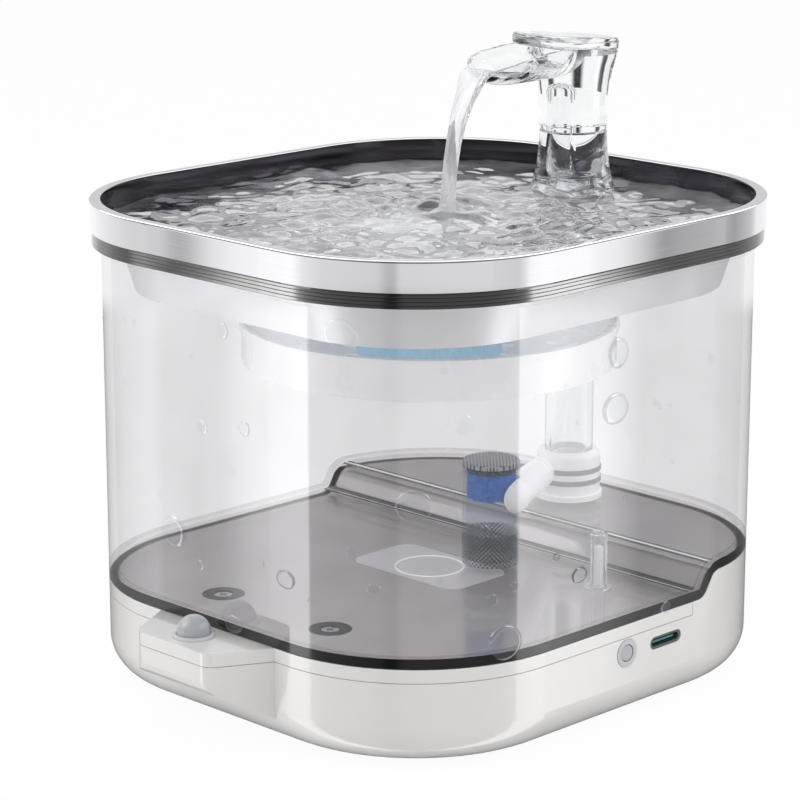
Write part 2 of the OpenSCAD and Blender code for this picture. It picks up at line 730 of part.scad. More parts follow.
module pump_bottom() color([0.90, 0.90, 0.91]) place() translate([0, pump_y, 0]) difference() {
    union() {
        disc(pump_r + 0.7, deck_z, deck_z + pump_wall + part_gap);
        disc(chamber_r - fit_gap, deck_z + pump_wall, deck_z + pump_wall + 1);
        disc(shaft_r + 1.2, deck_z + pump_wall, deck_z + pump_wall + 1.4);
    }
    disc(shaft_r, deck_z + 0.6, far);
}

module pump_bands() color([0.62, 0.62, 0.66]) place() translate([0, pump_y, 0])
    for (z = band_zs) tube(pump_r + 0.35, pump_r - 0.65, z + 0.05, z + pump_band_h - 0.05);

module impeller_shaft() color([0.97, 0.97, 0.97]) place() translate([0, pump_y, 0]) {
    disc(shaft_r, deck_z + 0.6, chamber_top - 0.6);
    for (a = [0, 90]) rotate([0, 0, a]) block(-nozzle_r + 0.1, nozzle_r - 0.1, -0.6, 0.6,
        chamber_top - 0.6 - eps, chamber_top + 0.8);
}

hub_z0 = deck_z + pump_wall + 1.4 + part_gap;
hub_z1 = chamber_top - 0.6 - part_gap;

module impeller() color([0.30, 0.50, 0.80]) place() translate([0, pump_y, 0]) difference() {
    union() {
        disc(2.4, hub_z0, hub_z1);
        disc(impeller_r, hub_z0 + 1.6, hub_z0 + 2.2);
        for (a = [0 : 60 : 300]) rotate([0, 0, a])
            block(1.5, impeller_r - 0.4, -0.4, 0.4, hub_z0 + 2.2 - eps, hub_z1 - 0.2);
    }
    disc(shaft_r + shaft_gap, 0, far);
}

module impeller_magnet() color([0.20, 0.20, 0.22]) place() translate([0, pump_y, 0])
    tube(impeller_r - 0.3, 3.2, hub_z0, hub_z0 + 1.6);

module riser_tube() color([0.85, 0.90, 0.93, 0.4]) place() translate([0, pump_y, 0])
    rotate_extrude() polygon([
    [riser_r - riser_wall, pump_top - 1.6], [riser_r, pump_top - 1.6], [riser_r, riser_shoulder_z],
    [nozzle_r, riser_shoulder_z + 4], [nozzle_r, nozzle_top], [nozzle_r - 1.4, nozzle_top],
    [nozzle_r - 1.4, riser_shoulder_z + 3], [riser_r - riser_wall, riser_shoulder_z - 1]]);

// The duct's bore: out of the cage, round the elbow and into the pump's chamber
module duct_bore() {
    bore_r_cage = duct_r_cage - duct_wall;
    rod([cage_x, cage_y, duct_from[2]], duct_from, bore_r_cage, bore_r_cage);
    translate(duct_from) sphere(bore_r_cage + elbow_swell);
    rod(duct_from, duct_to, bore_r_cage, duct_r_pump - duct_wall);
}

module intake_duct() color([0.93, 0.93, 0.94]) place() difference() {
    union() {
        rod(duct_from, duct_to, duct_r_cage, duct_r_pump);
        translate(duct_from) sphere(duct_r_cage + elbow_swell);
    }
    duct_bore();
    translate([cage_x, cage_y, 0]) disc(cage_r + 0.05, 0, far);
    translate([0, pump_y, 0]) disc(pump_r + 0.05, 0, far);
    translate([0, pump_y, 0]) disc(pump_r + 0.4, band_zs[0] - 0.1, band_zs[1] + pump_band_h + 0.1);
    translate([0, pump_y, 0]) disc(pump_r + 0.75, 0, deck_z + pump_wall + part_gap);
}

cage_wall = 1.2;
hole_r = 1.1;
hole_rows = [for (z = [floor_z + 4 : 4.4 : cage_top - 6]) z];

module intake_cage() color([0.88, 0.90, 0.92, 0.5]) place() translate([cage_x, cage_y, 0]) difference() {
    disc(cage_r, floor_z, cage_top - 2);
    disc(cage_r - cage_wall, floor_z + 1.5, far);
    for (z = hole_rows, a = [15 : 30 : 345])
        rotate([0, 0, a]) translate([cage_r - 3, 0, z]) rotate([0, 90, 0]) cylinder(h = 6, r = hole_r);
    translate([-cage_x, -cage_y, 0]) duct_bore();
}

module cage_lid() color([0.90, 0.91, 0.93, 0.5]) place() translate([cage_x, cage_y, 0]) difference() {
    union() {
        disc(cage_r, cage_top - 2 + part_gap, cage_top);
        disc(cage_r - cage_wall - part_gap, cage_top - 3.6, cage_top - 2 + part_gap + eps);
    }
    disc(cage_r - cage_wall - 1.6, 0, cage_top - 1.4);
    for (a = [0 : 45 : 315]) rotate([0, 0, a]) translate([4.6, 0, 0]) disc(0.9, 0, far);
    disc(1.2, 0, far);
}

module cage_sponge() color([0.10, 0.40, 0.80]) place() translate([cage_x, cage_y, 0])
    disc(cage_r - cage_wall - 0.3, cage_top - 12.5, cage_top - 3.9);

// ---- Tray and filter ----

// Half section of the tray, as distance from the corner's axis against height
tray_points = [
    [0, tray_under], [tray_r - tray_lean, tray_under], [tray_r, shoulder_z],
    [rim_r - lip_w, shoulder_z], [rim_r - lip_w, rim_top - sheet],
    [rim_r - sheet, rim_top - sheet], [rim_r - sheet, rim_top - rim_h], [rim_r, rim_top - rim_h],
    [rim_r, rim_top], [rim_r - lip_w - sheet, rim_top], [rim_r - lip_w - sheet, shoulder_z + sheet],
    [tray_r - sheet, shoulder_z + sheet], [tray_r - tray_lean - sheet, tray_floor], [0, tray_floor]];

module drinking_tray() color([0.80, 0.80, 0.82]) place() difference() {
    union() {
        round_plan(rim_w, rim_d, rim_r) polygon(tray_points);
        block(-tray_cx, tray_cx, -tray_cy, tray_cy, tray_under, tray_floor);
    }
    disc(drain_r, 0, far);
    translate([0, pump_y, 0]) disc(nozzle_r + 3.2, 0, far);
}

module tray_grommet() color([0.75, 0.76, 0.78]) place() translate([0, pump_y, 0]) {
    tube(nozzle_r + 3.1, nozzle_r + part_gap, tray_under - 1.2, tray_floor + 1.2);
    tube(nozzle_r + 5, nozzle_r + part_gap, tray_under - 1.2, tray_under);
    tube(nozzle_r + 5, nozzle_r + part_gap, tray_floor, tray_floor + 1.2);
}

module filter_holder() color([0.90, 0.91, 0.93, 0.6]) place() difference() {
    union() {
        tube(bowl_r, bowl_r - bowl_wall, band_top, tray_under);
        tube(bowl_r, drain_r - 2, tray_under - 1.6, tray_under);
        tube(drain_r - 0.2, drain_r - 2, tray_under - 1.6, tray_floor + 3);
        tube(drain_r + 0.9, drain_r - 2, tray_floor + 0.2, tray_floor + 1.8);
    }
    for (a = [0, 90]) rotate([0, 0, a]) block(-1.5, 1.5, -drain_r - 3, drain_r + 3, tray_under, far);
    translate([0, pump_y, 0]) disc(nozzle_r + 5.4, tray_under - 4, tray_under - 1.6 + 2);
}

strainer_r = drain_r - 2 - part_gap;
strainer_top = tray_floor + strainer_h;

module overflow_strainer() color([0.85, 0.86, 0.88]) place() difference() {
    union() {
        disc(strainer_r, tray_floor - 1, strainer_top);
        disc(drain_r + 2.5, tray_floor + 3 + part_gap, tray_floor + 4.5);
    }
    disc(strainer_r - 1.4, 0, strainer_top - 1.4);
    for (a = [0 : 30 : 330]) rotate([0, 0, a])
        block(strainer_r - 8, far, -1.2, 1.2, strainer_top - 9, strainer_top - 2.4);
    for (a = [0 : 45 : 315]) rotate([0, 0, a]) translate([12, 0, 0]) disc(2, 0, far);
    disc(3, 0, far);
}

module filter_bowl() color([0.94, 0.94, 0.93]) place() difference() {
    union() {
        disc(bowl_r - 0.8, bowl_bottom, bowl_top - 2.6 + eps);
        disc(bowl_r, bowl_top - 2.6, bowl_top);
    }
    disc(bowl_r - bowl_wall - 0.8, layers_z, far);
    for (ring = [[12, 6], [26, 12], [42, 18]], i = [0 : ring[1] - 1])
        rotate([0, 0, 360 * i / ring[1]]) translate([ring[0], 0, 0]) disc(2.5, 0, far);
}

module filter_window() color([0.80, 0.90, 0.97, 0.4]) place()
    tube(bowl_r - 0.8, bowl_r - 0.8 - bowl_wall, bowl_top, band_top - part_gap);

module carbon_layer() color([0.16, 0.16, 0.17]) place()
    disc(sponge_r - 0.3, carbon_z, carbon_z + carbon_h);

module cotton_layer() color([0.96, 0.96, 0.95]) place()
    disc(sponge_r - 0.3, carbon_z + carbon_h + layer_gap, band_top - part_gap - layer_gap);

module filter_sponge() color([0.25, 0.65, 0.92]) place()
    disc(sponge_r, layers_z, layers_z + sponge_h);

// ---- Faucet ----

module faucet_foot() color([0.90, 0.93, 0.95, 0.4]) place() translate([0, pump_y, 0]) difference() {
    rotate_extrude() polygon([[0, foot_z], [foot_base_r, foot_z], [foot_base_r + 1, foot_z + 4],
        [foot_r, foot_z + 11], [foot_r - 0.1, foot_z + 16], [foot_r - 1.1, foot_z + 20],
        [foot_r - 2.1, foot_z + 25], [column_r + 0.3, foot_z + 31], [column_r, faucet_joint_z - 2],
        [column_r, faucet_joint_z], [0, faucet_joint_z]]);
    disc(nozzle_r + part_gap, 0, far);
}

module foot_seal() color([0.75, 0.76, 0.78]) place() translate([0, pump_y, 0])
    tube(foot_base_r - 0.4, nozzle_r + 5.6, tray_floor + seat_gap, foot_z);

// Rim plane of the trough: everything below a line that rises towards the column
module below_rim() rotate([90, 0, 90]) linear_extrude(far, center = true)
    polygon([[trough_tip_y - 4, trough_z - 9.5], [trough_tip_y + 2, trough_z - 5.5],
        [trough_tip_y + 12, trough_z - 1.5], [trough_tip_y + 26, trough_z + 0.5], [pump_y, trough_z + 0.5],
        [pump_y, 0], [trough_tip_y - 4, 0]]);

module trough(r, reach) translate([0, pump_y, trough_z]) rotate([91.5, 0, 0]) cylinder(h = reach, r = r);

module faucet_spout() color([0.90, 0.93, 0.95, 0.4]) place() difference() {
    union() {
        translate([0, pump_y, 0]) rotate_extrude() polygon([[0, spout_z], [column_r, spout_z],
            [column_r, spout_z + 6], [column_r + 0.6, spout_z + 14], [column_r + 1.8, spout_z + 21],
            [column_r + 3.1, column_top_z], [column_r + 3.1, column_top_z + 6], [0, column_top_z + 6]]);
        intersection() {
            trough(spout_r, spout_reach);
            below_rim();
            translate([-spout_r, trough_tip_y + spout_r, 0]) cube([2 * spout_r, far, far]);
        }
        intersection() {
            trough(spout_r, spout_reach);
            below_rim();
            translate([0, trough_tip_y + spout_r, 0]) cylinder(h = far, r = spout_r);
        }
    }
    intersection() {
        trough(spout_r - spout_wall, spout_reach + 5);
        translate([-far / 2, -far / 2, 0]) cube([far, far / 2 + pump_y + 2, far]);
    }
    translate([0, pump_y, 0]) disc(bore_r, 0, trough_z - spout_r + spout_wall + bore_over);
    lever_plane() block(-far, far, -far, far, 0, far);
}

lever_y = pump_y + column_r + 3.1 - lever_len / 2;

module lever_plane()
    translate([0, pump_y + column_r + 3.1, column_top_z]) rotate([-lever_tilt, 0, 0]) children();

module faucet_lever() color([0.92, 0.94, 0.96, 0.5]) place() lever_plane() linear_extrude(3.2)
    translate([0, -lever_len / 2]) {
        square([2 * lever_r, lever_len - 2 * lever_r], center = true);
        for (s = [-1, 1]) translate([0, s * (lever_len / 2 - lever_r)]) circle(lever_r);
    }

base_shell();
base_cover();
battery_hatch();
hatch_screws();
rubber_feet();
cover_screws();
screw_washers();
light_window();
light_board();
light_leds();
pir_dome();
pir_collar();
pir_sensor();
sensor_board();
control_board();
board_screws();
battery_cells();
battery_holder();
tact_switch();
button_bezel();
power_button();
usb_c_socket();
usb_c_tongue();
drive_board();
stator_core();
drive_coils();
level_sensor();
tank_floor();
tank_wall();
tank_gasket();
float_guide();
float_pin();
float_magnet();
pump_housing();
pump_bottom();
pump_bands();
impeller_shaft();
impeller();
impeller_magnet();
riser_tube();
intake_duct();
intake_cage();
cage_lid();
cage_sponge();
drinking_tray();
tray_grommet();
filter_holder();
overflow_strainer();
filter_bowl();
filter_window();
carbon_layer();
cotton_layer();
filter_sponge();
faucet_foot();
foot_seal();
faucet_spout();
faucet_lever();
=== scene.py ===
# Looks of the pet water fountain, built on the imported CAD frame. Lengths in this file are millimetres in the
# part's body plan (centre of the tank, heights from the base's underside) until P() turns them into metres.
import bpy
import bmesh
import math
import random
from mathutils import Matrix, Vector, noise


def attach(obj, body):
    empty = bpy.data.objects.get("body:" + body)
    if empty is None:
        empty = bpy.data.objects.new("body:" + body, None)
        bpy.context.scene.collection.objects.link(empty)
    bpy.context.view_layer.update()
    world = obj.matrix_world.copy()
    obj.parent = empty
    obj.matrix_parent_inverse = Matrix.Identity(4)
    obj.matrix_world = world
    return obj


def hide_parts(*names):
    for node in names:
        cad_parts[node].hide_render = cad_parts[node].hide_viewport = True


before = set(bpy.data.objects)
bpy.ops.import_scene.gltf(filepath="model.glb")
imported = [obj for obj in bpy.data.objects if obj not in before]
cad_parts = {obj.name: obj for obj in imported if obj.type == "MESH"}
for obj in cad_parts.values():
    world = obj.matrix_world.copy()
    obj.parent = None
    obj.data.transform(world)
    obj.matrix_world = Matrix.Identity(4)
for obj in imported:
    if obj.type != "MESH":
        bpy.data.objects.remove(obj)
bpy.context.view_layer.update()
random.seed(7)

OFFSET = Vector((0.0, 7.425, 0.8))  # from the body plan to the shared frame
PLAN_X, PLAN_Y = 31.5, 37.85        # corner axes of the rounded plan
BODY_R = 54.85
WALL = 3.0
PUMP_Y = 68.0
WINDOW_AT = (1.5, -1.0)             # middle of the night light's window
BASE_H = 31.3
STEP_Y, STEP_H, STEP_ANGLE, LOW_R, HIGH_R = 33.5, 7.9, 58.0, 5.0, 4.5
SEAT, FLOOR_T, EDGE_T = 0.3, 2.0, 3.1
WATER_Z = 147.6
FAR = 200.0                         # well outside the plan


def P(x, y, z):
    """Place in the shared frame, in metres."""
    return (Vector((x, y, z)) + OFFSET) * 0.001


# ---------------------------------------------------------------- materials

BUMP_DEPTH = 0.0004                 # metres
HOLE_EDGE = 0.15                    # higher makes the cage's holes smaller


def new_material(name):
    mat = bpy.data.materials.new(name)
    mat.use_nodes = True
    nt = mat.node_tree
    nt.nodes.clear()
    out = nt.nodes.new("ShaderNodeOutputMaterial")
    bsdf = nt.nodes.new("ShaderNodeBsdfPrincipled")
    nt.links.new(bsdf.outputs[0], out.inputs[0])
    return mat, nt, bsdf


def feed(nt, node, *values):
    """Sets a node's first inputs, each from a plain value or from another node's output."""
    for k, value in enumerate(values):
        if isinstance(value, bpy.types.NodeSocket):
            nt.links.new(value, node.inputs[k])
        else:
            node.inputs[k].default_value = value
    return node.outputs[0]


def calculate(nt, operation, *values):
    node = nt.nodes.new("ShaderNodeMath")
    node.operation = operation
    return feed(nt, node, *values)


def mix_shaders(nt, share, first, second):
    return feed(nt, nt.nodes.new("ShaderNodeMixShader"), share, first, second)


def clear_view(nt, tint):
    return feed(nt, nt.nodes.new("ShaderNodeBsdfTransparent"), tint)


def object_noise(nt, scale, detail=2.0, stretch=(1, 1, 1)):
    coord = nt.nodes.new("ShaderNodeTexCoord")
    mapping = nt.nodes.new("ShaderNodeMapping")
    mapping.inputs["Scale"].default_value = stretch
    tex = nt.nodes.new("ShaderNodeTexNoise")
    tex.inputs["Scale"].default_value = scale
    tex.inputs["Detail"].default_value = detail
    nt.links.new(coord.outputs["Object"], mapping.inputs["Vector"])
    nt.links.new(mapping.outputs[0], tex.inputs["Vector"])
    return tex


def remap(nt, source, low, high):
    node = nt.nodes.new("ShaderNodeMapRange")
    node.inputs["From Min"].default_value = 0.3
    node.inputs["From Max"].default_value = 0.7
    node.inputs["To Min"].default_value = low
    node.inputs["To Max"].default_value = high
    nt.links.new(source, node.inputs["Value"])
    return node.outputs[0]


def varied(nt, tex, color, vary):
    """The colour, a little darker and lighter by the noise."""
    mix = nt.nodes.new("ShaderNodeMix")
    mix.data_type = "RGBA"
    mix.inputs[6].default_value = (*[c * (1 - vary) for c in color], 1)
    mix.inputs[7].default_value = (*[min(1, c * (1 + vary)) for c in color], 1)
    nt.links.new(remap(nt, tex.outputs[0], 0, 1), mix.inputs[0])
    return mix.outputs[2]


def make(name, color, rough=0.4, metal=0.0, trans=0.0, ior=1.5, coat=0.0, coat_ior=1.5, vary=0.04,
         rough_vary=0.05, bump=0.0, bump_scale=1500.0, scale=60.0, stretch=(1, 1, 1), sheen=0.0, sub=0.0, glow=0.0):
    mat, nt, bsdf = new_material(name)
    tex = object_noise(nt, scale, 3.0, stretch)
    nt.links.new(varied(nt, tex, color, vary), bsdf.inputs["Base Color"])
    bsdf.inputs["Roughness"].default_value = rough
    if rough_vary:
        nt.links.new(remap(nt, tex.outputs[0], max(0, rough - rough_vary), rough + rough_vary),
                     bsdf.inputs["Roughness"])
    if bump:
        fine = object_noise(nt, bump_scale, 2.0, stretch)
        node = nt.nodes.new("ShaderNodeBump")
        node.inputs["Strength"].default_value = bump
        node.inputs["Distance"].default_value = BUMP_DEPTH
        nt.links.new(fine.outputs[0], node.inputs["Height"])
        nt.links.new(node.outputs[0], bsdf.inputs["Normal"])
    for socket, value in (("Metallic", metal), ("Transmission Weight", trans), ("IOR", ior), ("Coat Weight", coat),
                          ("Coat IOR", coat_ior), ("Coat Roughness", 0.02), ("Sheen Weight", sheen),
                          ("Subsurface Weight", sub), ("Emission Color", (1, 1, 1, 1)),
                          ("Emission Strength", glow)):
        bsdf.inputs[socket].default_value = value
    return mat


def output_of(mat):
    return next(n for n in mat.node_tree.nodes if n.type == "OUTPUT_MATERIAL")


def lay_over(mat, share, shader):
    """Mixes a shader over the whole of a material: share 1 shows the new one only."""
    out = output_of(mat)
    was = out.inputs[0].links[0].from_socket
    mat.node_tree.links.new(mix_shaders(mat.node_tree, share, was, shader), out.inputs[0])
    return mat


def let_lamps_through(mat, tint):
    """Lamps shine through this material, tinted, though it refracts what is seen through it."""
    path = mat.node_tree.nodes.new("ShaderNodeLightPath")
    return lay_over(mat, path.outputs["Is Shadow Ray"], clear_view(mat.node_tree, (*tint, 1)))


def see_through(mat, tint, share):
    """Mixes a tinted straight view into a material: share 1 is the tinted view only."""
    return lay_over(mat, share, clear_view(mat.node_tree, (*tint, 1)))


def clear_from_behind(mat, tint):
    """Shows a tinted straight view where the eye meets the face from its inner side."""
    side = mat.node_tree.nodes.new("ShaderNodeNewGeometry")
    return see_through(mat, tint, side.outputs["Backfacing"])


def film(name, tint, ior, rough=0.02, outer_only=False):
    """A sheet that reflects by its Fresnel factor and shows the rest straight through, tinted.

    With outer_only, just the first sheet that the eye meets reflects, and lamps shine through untinted."""
    mat, nt, bsdf = new_material(name)
    nt.nodes.remove(bsdf)
    gloss = nt.nodes.new("ShaderNodeBsdfGlossy")
    tex = object_noise(nt, 30.0, 2.0)
    nt.links.new(remap(nt, tex.outputs[0], rough * 0.5, rough * 1.5), gloss.inputs["Roughness"])
    clear = clear_view(nt, varied(nt, tex, tint, 0.015))
    fresnel = nt.nodes.new("ShaderNodeFresnel")
    fresnel.inputs["IOR"].default_value = ior
    side = nt.nodes.new("ShaderNodeNewGeometry")
    front = calculate(nt, "SUBTRACT", 1.0, side.outputs["Backfacing"])
    share = calculate(nt, "MULTIPLY", fresnel.outputs[0], front)
    if outer_only:
        path = nt.nodes.new("ShaderNodeLightPath")
        first = calculate(nt, "LESS_THAN", path.outputs["Transparent Depth"], 0.5)
        looks = calculate(nt, "MAXIMUM", path.outputs["Is Camera Ray"], path.outputs["Is Transmission Ray"])
        share = calculate(nt, "MULTIPLY", calculate(nt, "MULTIPLY", share, first), looks)
    nt.links.new(mix_shaders(nt, share, clear, gloss.outputs[0]), output_of(mat).inputs[0])
    return let_lamps_through(mat, (1, 1, 1)) if outer_only else mat


def whiten(mat, color, low, high, scale, stretch=(1, 1, 1)):
    """Mixes patches of scattering white into a clear liquid, as air and foam do."""
    nt = mat.node_tree
    white = feed(nt, nt.nodes.new("ShaderNodeBsdfDiffuse"), (*color, 1))
    tex = object_noise(nt, scale, 3.0, stretch)
    return lay_over(mat, remap(nt, tex.outputs[0], low, high), white)


def perforated(name, centre, radius, pitch, bands, on_wall, tint, share):
    """Clear moulding with fine dark holes: checkered round the wall in height bands, or over the flat lid."""
    mat = see_through(make(name, (0.72, 0.74, 0.78), rough=0.2, vary=0.03), tint, share)
    nt = mat.node_tree

    def calc(operation, *values):
        return calculate(nt, operation, *values)

    coord = nt.nodes.new("ShaderNodeTexCoord")
    xyz = nt.nodes.new("ShaderNodeSeparateXYZ")
    nt.links.new(coord.outputs["Object"], xyz.inputs[0])
    x, y, z = xyz.outputs
    c = P(centre[0], centre[1], 0)
    dx, dy = calc("SUBTRACT", x, c.x), calc("SUBTRACT", y, c.y)
    wave = 2 * math.pi / (pitch * 0.001)
    if on_wall:
        count = round(2 * math.pi * radius / pitch)
        u = calc("SINE", calc("MULTIPLY", calc("ARCTAN2", dy, dx), count))
        v = calc("SINE", calc("MULTIPLY", z, wave))
    else:
        u, v = calc("SINE", calc("MULTIPLY", dx, wave)), calc("SINE", calc("MULTIPLY", dy, wave))
    hole = calc("GREATER_THAN", calc("MULTIPLY", u, v), HOLE_EDGE)
    if bands:
        zone = None
        for z0, z1 in bands:
            here = calc("MULTIPLY", calc("GREATER_THAN", z, P(0, 0, z0).z), calc("LESS_THAN", z, P(0, 0, z1).z))
            zone = here if zone is None else calc("MAXIMUM", zone, here)
        hole = calc("MULTIPLY", hole, zone)
    dark = nt.nodes.new("ShaderNodeBsdfPrincipled")
    dark.inputs["Base Color"].default_value = (0.10, 0.10, 0.11, 1)
    dark.inputs["Roughness"].default_value = 0.5
    return lay_over(mat, hole, dark.outputs[0])


CAGE_AT, CAGE_R, CAGE_FOOT, CAGE_TOP = (16.6, 12.0), 9.35, 33.6, 68.1
HOLE_PITCH = 1.5
HOLE_BANDS = [(CAGE_FOOT, 44.0), (64.4, CAGE_TOP)]
SMOKE = (0.885, 0.875, 0.88)

M = {
    "shell": make("warm_white_shell", (0.80, 0.785, 0.765), rough=0.22, vary=0.012, rough_vary=0.04, bump=0.03,
                  coat=1.0),
    "hatch": make("hatch_plastic", (0.72, 0.71, 0.69), rough=0.5, vary=0.03, bump=0.25, bump_scale=2500),
    "screw": make("screw_steel", (0.66, 0.66, 0.68), rough=0.3, metal=1.0, vary=0.08, scale=400),
    "rubber": make("foot_rubber", (0.05, 0.05, 0.055), rough=0.75, vary=0.15, bump=0.3),
    "washer": make("washer_rubber", (0.02, 0.02, 0.023), rough=0.6, vary=0.15, bump=0.2),
    # frosted_window's glow is painted light, to keep the window paler than the shaded deck round it
    "frosted": make("frosted_window", (0.84, 0.84, 0.86), rough=0.45, vary=0.02, bump=0.1, sub=0.1, glow=0.22),
    # window_circle's glow is a painted highlight on the ring
    "circle": make("window_circle", (0.97, 0.97, 0.98), rough=0.2, vary=0.02, glow=0.65),
    "board": make("circuit_board", (0.03, 0.16, 0.07), rough=0.35, vary=0.35, scale=500, coat=0.4),
    "led": make("led_lens", (0.93, 0.88, 0.62), rough=0.2, vary=0.05, scale=900),
    "dome": make("pearl_dome", (0.475, 0.465, 0.485), rough=0.28, vary=0.05, scale=220, coat=0.4, sub=0.1),
    "collar": make("dome_collar", (0.60, 0.60, 0.61), rough=0.25, vary=0.02),
    "can": make("sensor_can", (0.66, 0.64, 0.60), rough=0.3, metal=1.0, vary=0.05),
    "battery": make("battery_sleeve", (0.04, 0.22, 0.55), rough=0.3, vary=0.08, scale=120, coat=0.5),
    "black": make("black_moulding", (0.02, 0.02, 0.022), rough=0.5, vary=0.2, bump=0.1),
    "bezel": make("satin_bezel", (0.55, 0.55, 0.57), rough=0.3, vary=0.03),
    "button": make("satin_button", (0.47, 0.47, 0.50), rough=0.35, vary=0.03),
    "socket": make("socket_shroud", (0.07, 0.08, 0.085), rough=0.3, vary=0.1, coat=0.3),
    "tongue": make("socket_tongue", (0.05, 0.20, 0.205), rough=0.3, vary=0.2, scale=900),
    "core": make("laminated_core", (0.42, 0.42, 0.45), rough=0.4, metal=1.0, vary=0.1, stretch=(1, 1, 30)),
    "copper": make("enamelled_copper", (0.72, 0.30, 0.12), rough=0.3, metal=1.0, vary=0.15, stretch=(1, 1, 40)),
    "smoke": film("smoke_floor", SMOKE, 1.15),
    # The two step line materials are painted shade (dark) and a painted highlight (light) along the bends of the
    # stepped floor
    "painted_step_shade": make("step_line_painted_shade", (0.03, 0.028, 0.03), rough=0.2, vary=0.1),
    "painted_step_highlight": make("step_line_painted_highlight", (0.80, 0.80, 0.82), rough=0.15, vary=0.03, coat=0.5),
    "smoke_edge": make("smoke_floor_edge", (0.007, 0.0065, 0.0065), rough=0.15, vary=0.1, coat=0.6, coat_ior=1.40),
    "clear": film("clear_wall", (0.946, 0.946, 0.95), 2.2, rough=0.006, outer_only=True),
    "window": film("band_window", (0.96, 0.97, 0.98), 1.25, rough=0.02),
    "clear_part": make("clear_moulding", (0.95, 0.96, 0.97), rough=0.03, trans=1.0, ior=1.40, vary=0.01,
                       rough_vary=0.02),
    "float": make("float_white", (0.85, 0.85, 0.86), rough=0.3, vary=0.03),
    "magnet": make("nickel_magnet", (0.30, 0.30, 0.32), rough=0.3, metal=1.0, vary=0.08),
    # pump_white's glow is painted light, brightening the pump where it sits in the tank's shade
    "pump": make("pump_white", (0.93, 0.93, 0.945), rough=0.3, vary=0.015, coat=0.2, glow=0.12),
    "band": make("pump_band", (0.32, 0.32, 0.36), rough=0.3, vary=0.05),
    "ceramic": make("ceramic_shaft", (0.88, 0.88, 0.87), rough=0.2, vary=0.02),
    "impeller": make("impeller_blue", (0.08, 0.22, 0.60), rough=0.35, vary=0.08),
    "cage": perforated("cage_clear", CAGE_AT, CAGE_R, HOLE_PITCH, HOLE_BANDS, True, (0.93, 0.95, 0.97), 0.90),
    "cage_lid": perforated("cage_lid_clear", CAGE_AT, CAGE_R, HOLE_PITCH, [], False, (0.9, 0.9, 0.92), 0.35),
    "steel": make("polished_steel", (0.82, 0.82, 0.84), rough=0.03, metal=1.0, vary=0.01, rough_vary=0.01,
                  stretch=(0.2, 0.2, 30)),
    # shaded_steel is a dark copy of the polished steel: painted shade on the tray's inner sides
    "steel_painted_shade": make("shaded_steel", (0.085, 0.08, 0.095), rough=0.16, metal=1.0, vary=0.12, rough_vary=0.05,
                       stretch=(0.3, 0.3, 40), scale=120),
    # brushed_steel's glow is painted light: the tray's outside glows, and so lights the tank's inside from above
    "steel_under": make("brushed_steel", (0.86, 0.86, 0.88), rough=0.30, metal=0.4, vary=0.01, rough_vary=0.01,
                        glow=0.18),
    "seal": make("silicone_seal", (0.62, 0.63, 0.66), rough=0.4, vary=0.04, sub=0.1),
    "strainer": make("strainer_clear", (0.80, 0.81, 0.83), rough=0.1, trans=0.92, ior=1.40, vary=0.02),
    # bowl_white's glow is painted light, brightening the bowl where it sits in the tank's shade
    "bowl": make("bowl_white", (0.88, 0.88, 0.89), rough=0.28, vary=0.012, coat=0.2, glow=0.20),
    "holder": make("holder_haze", (0.80, 0.81, 0.84), rough=0.2, trans=0.45, ior=1.40, vary=0.03),
    # blue_sponge's glow is painted light, keeping the sponge bright under the tray's shade
    "blue_sponge": make("blue_sponge", (0.16, 0.58, 0.88), rough=0.85, vary=0.15, scale=900, bump=0.8, sheen=0.2,
                        glow=0.28),
    "cage_sponge": make("cage_sponge", (0.0, 0.22, 0.85), rough=0.85, vary=0.35, scale=700, bump=0.8),
    "carbon": make("carbon_granules", (0.03, 0.03, 0.032), rough=0.6, vary=0.5, scale=900, bump=0.9),
    "cotton": make("white_felt", (0.86, 0.86, 0.85), rough=0.9, vary=0.05, scale=900, bump=0.7, sheen=0.3),
    "glass": make("faucet_clear", (0.97, 0.98, 0.985), rough=0.0, trans=1.0, ior=1.47, vary=0.004, rough_vary=0.0),
    "gasket": make("flange_seal", (0.010, 0.010, 0.012), rough=0.3, vary=0.2, rough_vary=0.04, coat=1.0,
                   coat_ior=2.05, stretch=(0.3, 0.3, 60)),
    "water": make("water", (0.985, 0.99, 0.995), rough=0.0, trans=1.0, ior=1.333, vary=0.003, rough_vary=0.0,
                  bump=0.05, bump_scale=260, coat=1.0, coat_ior=1.6),
    "stream": make("water_stream", (0.99, 0.995, 1.0), rough=0.0, trans=1.0, ior=1.333, vary=0.002, rough_vary=0.0),
    "drop": film("water_drops", (0.975, 0.978, 0.985), 2.3, rough=0.006, outer_only=True),
}

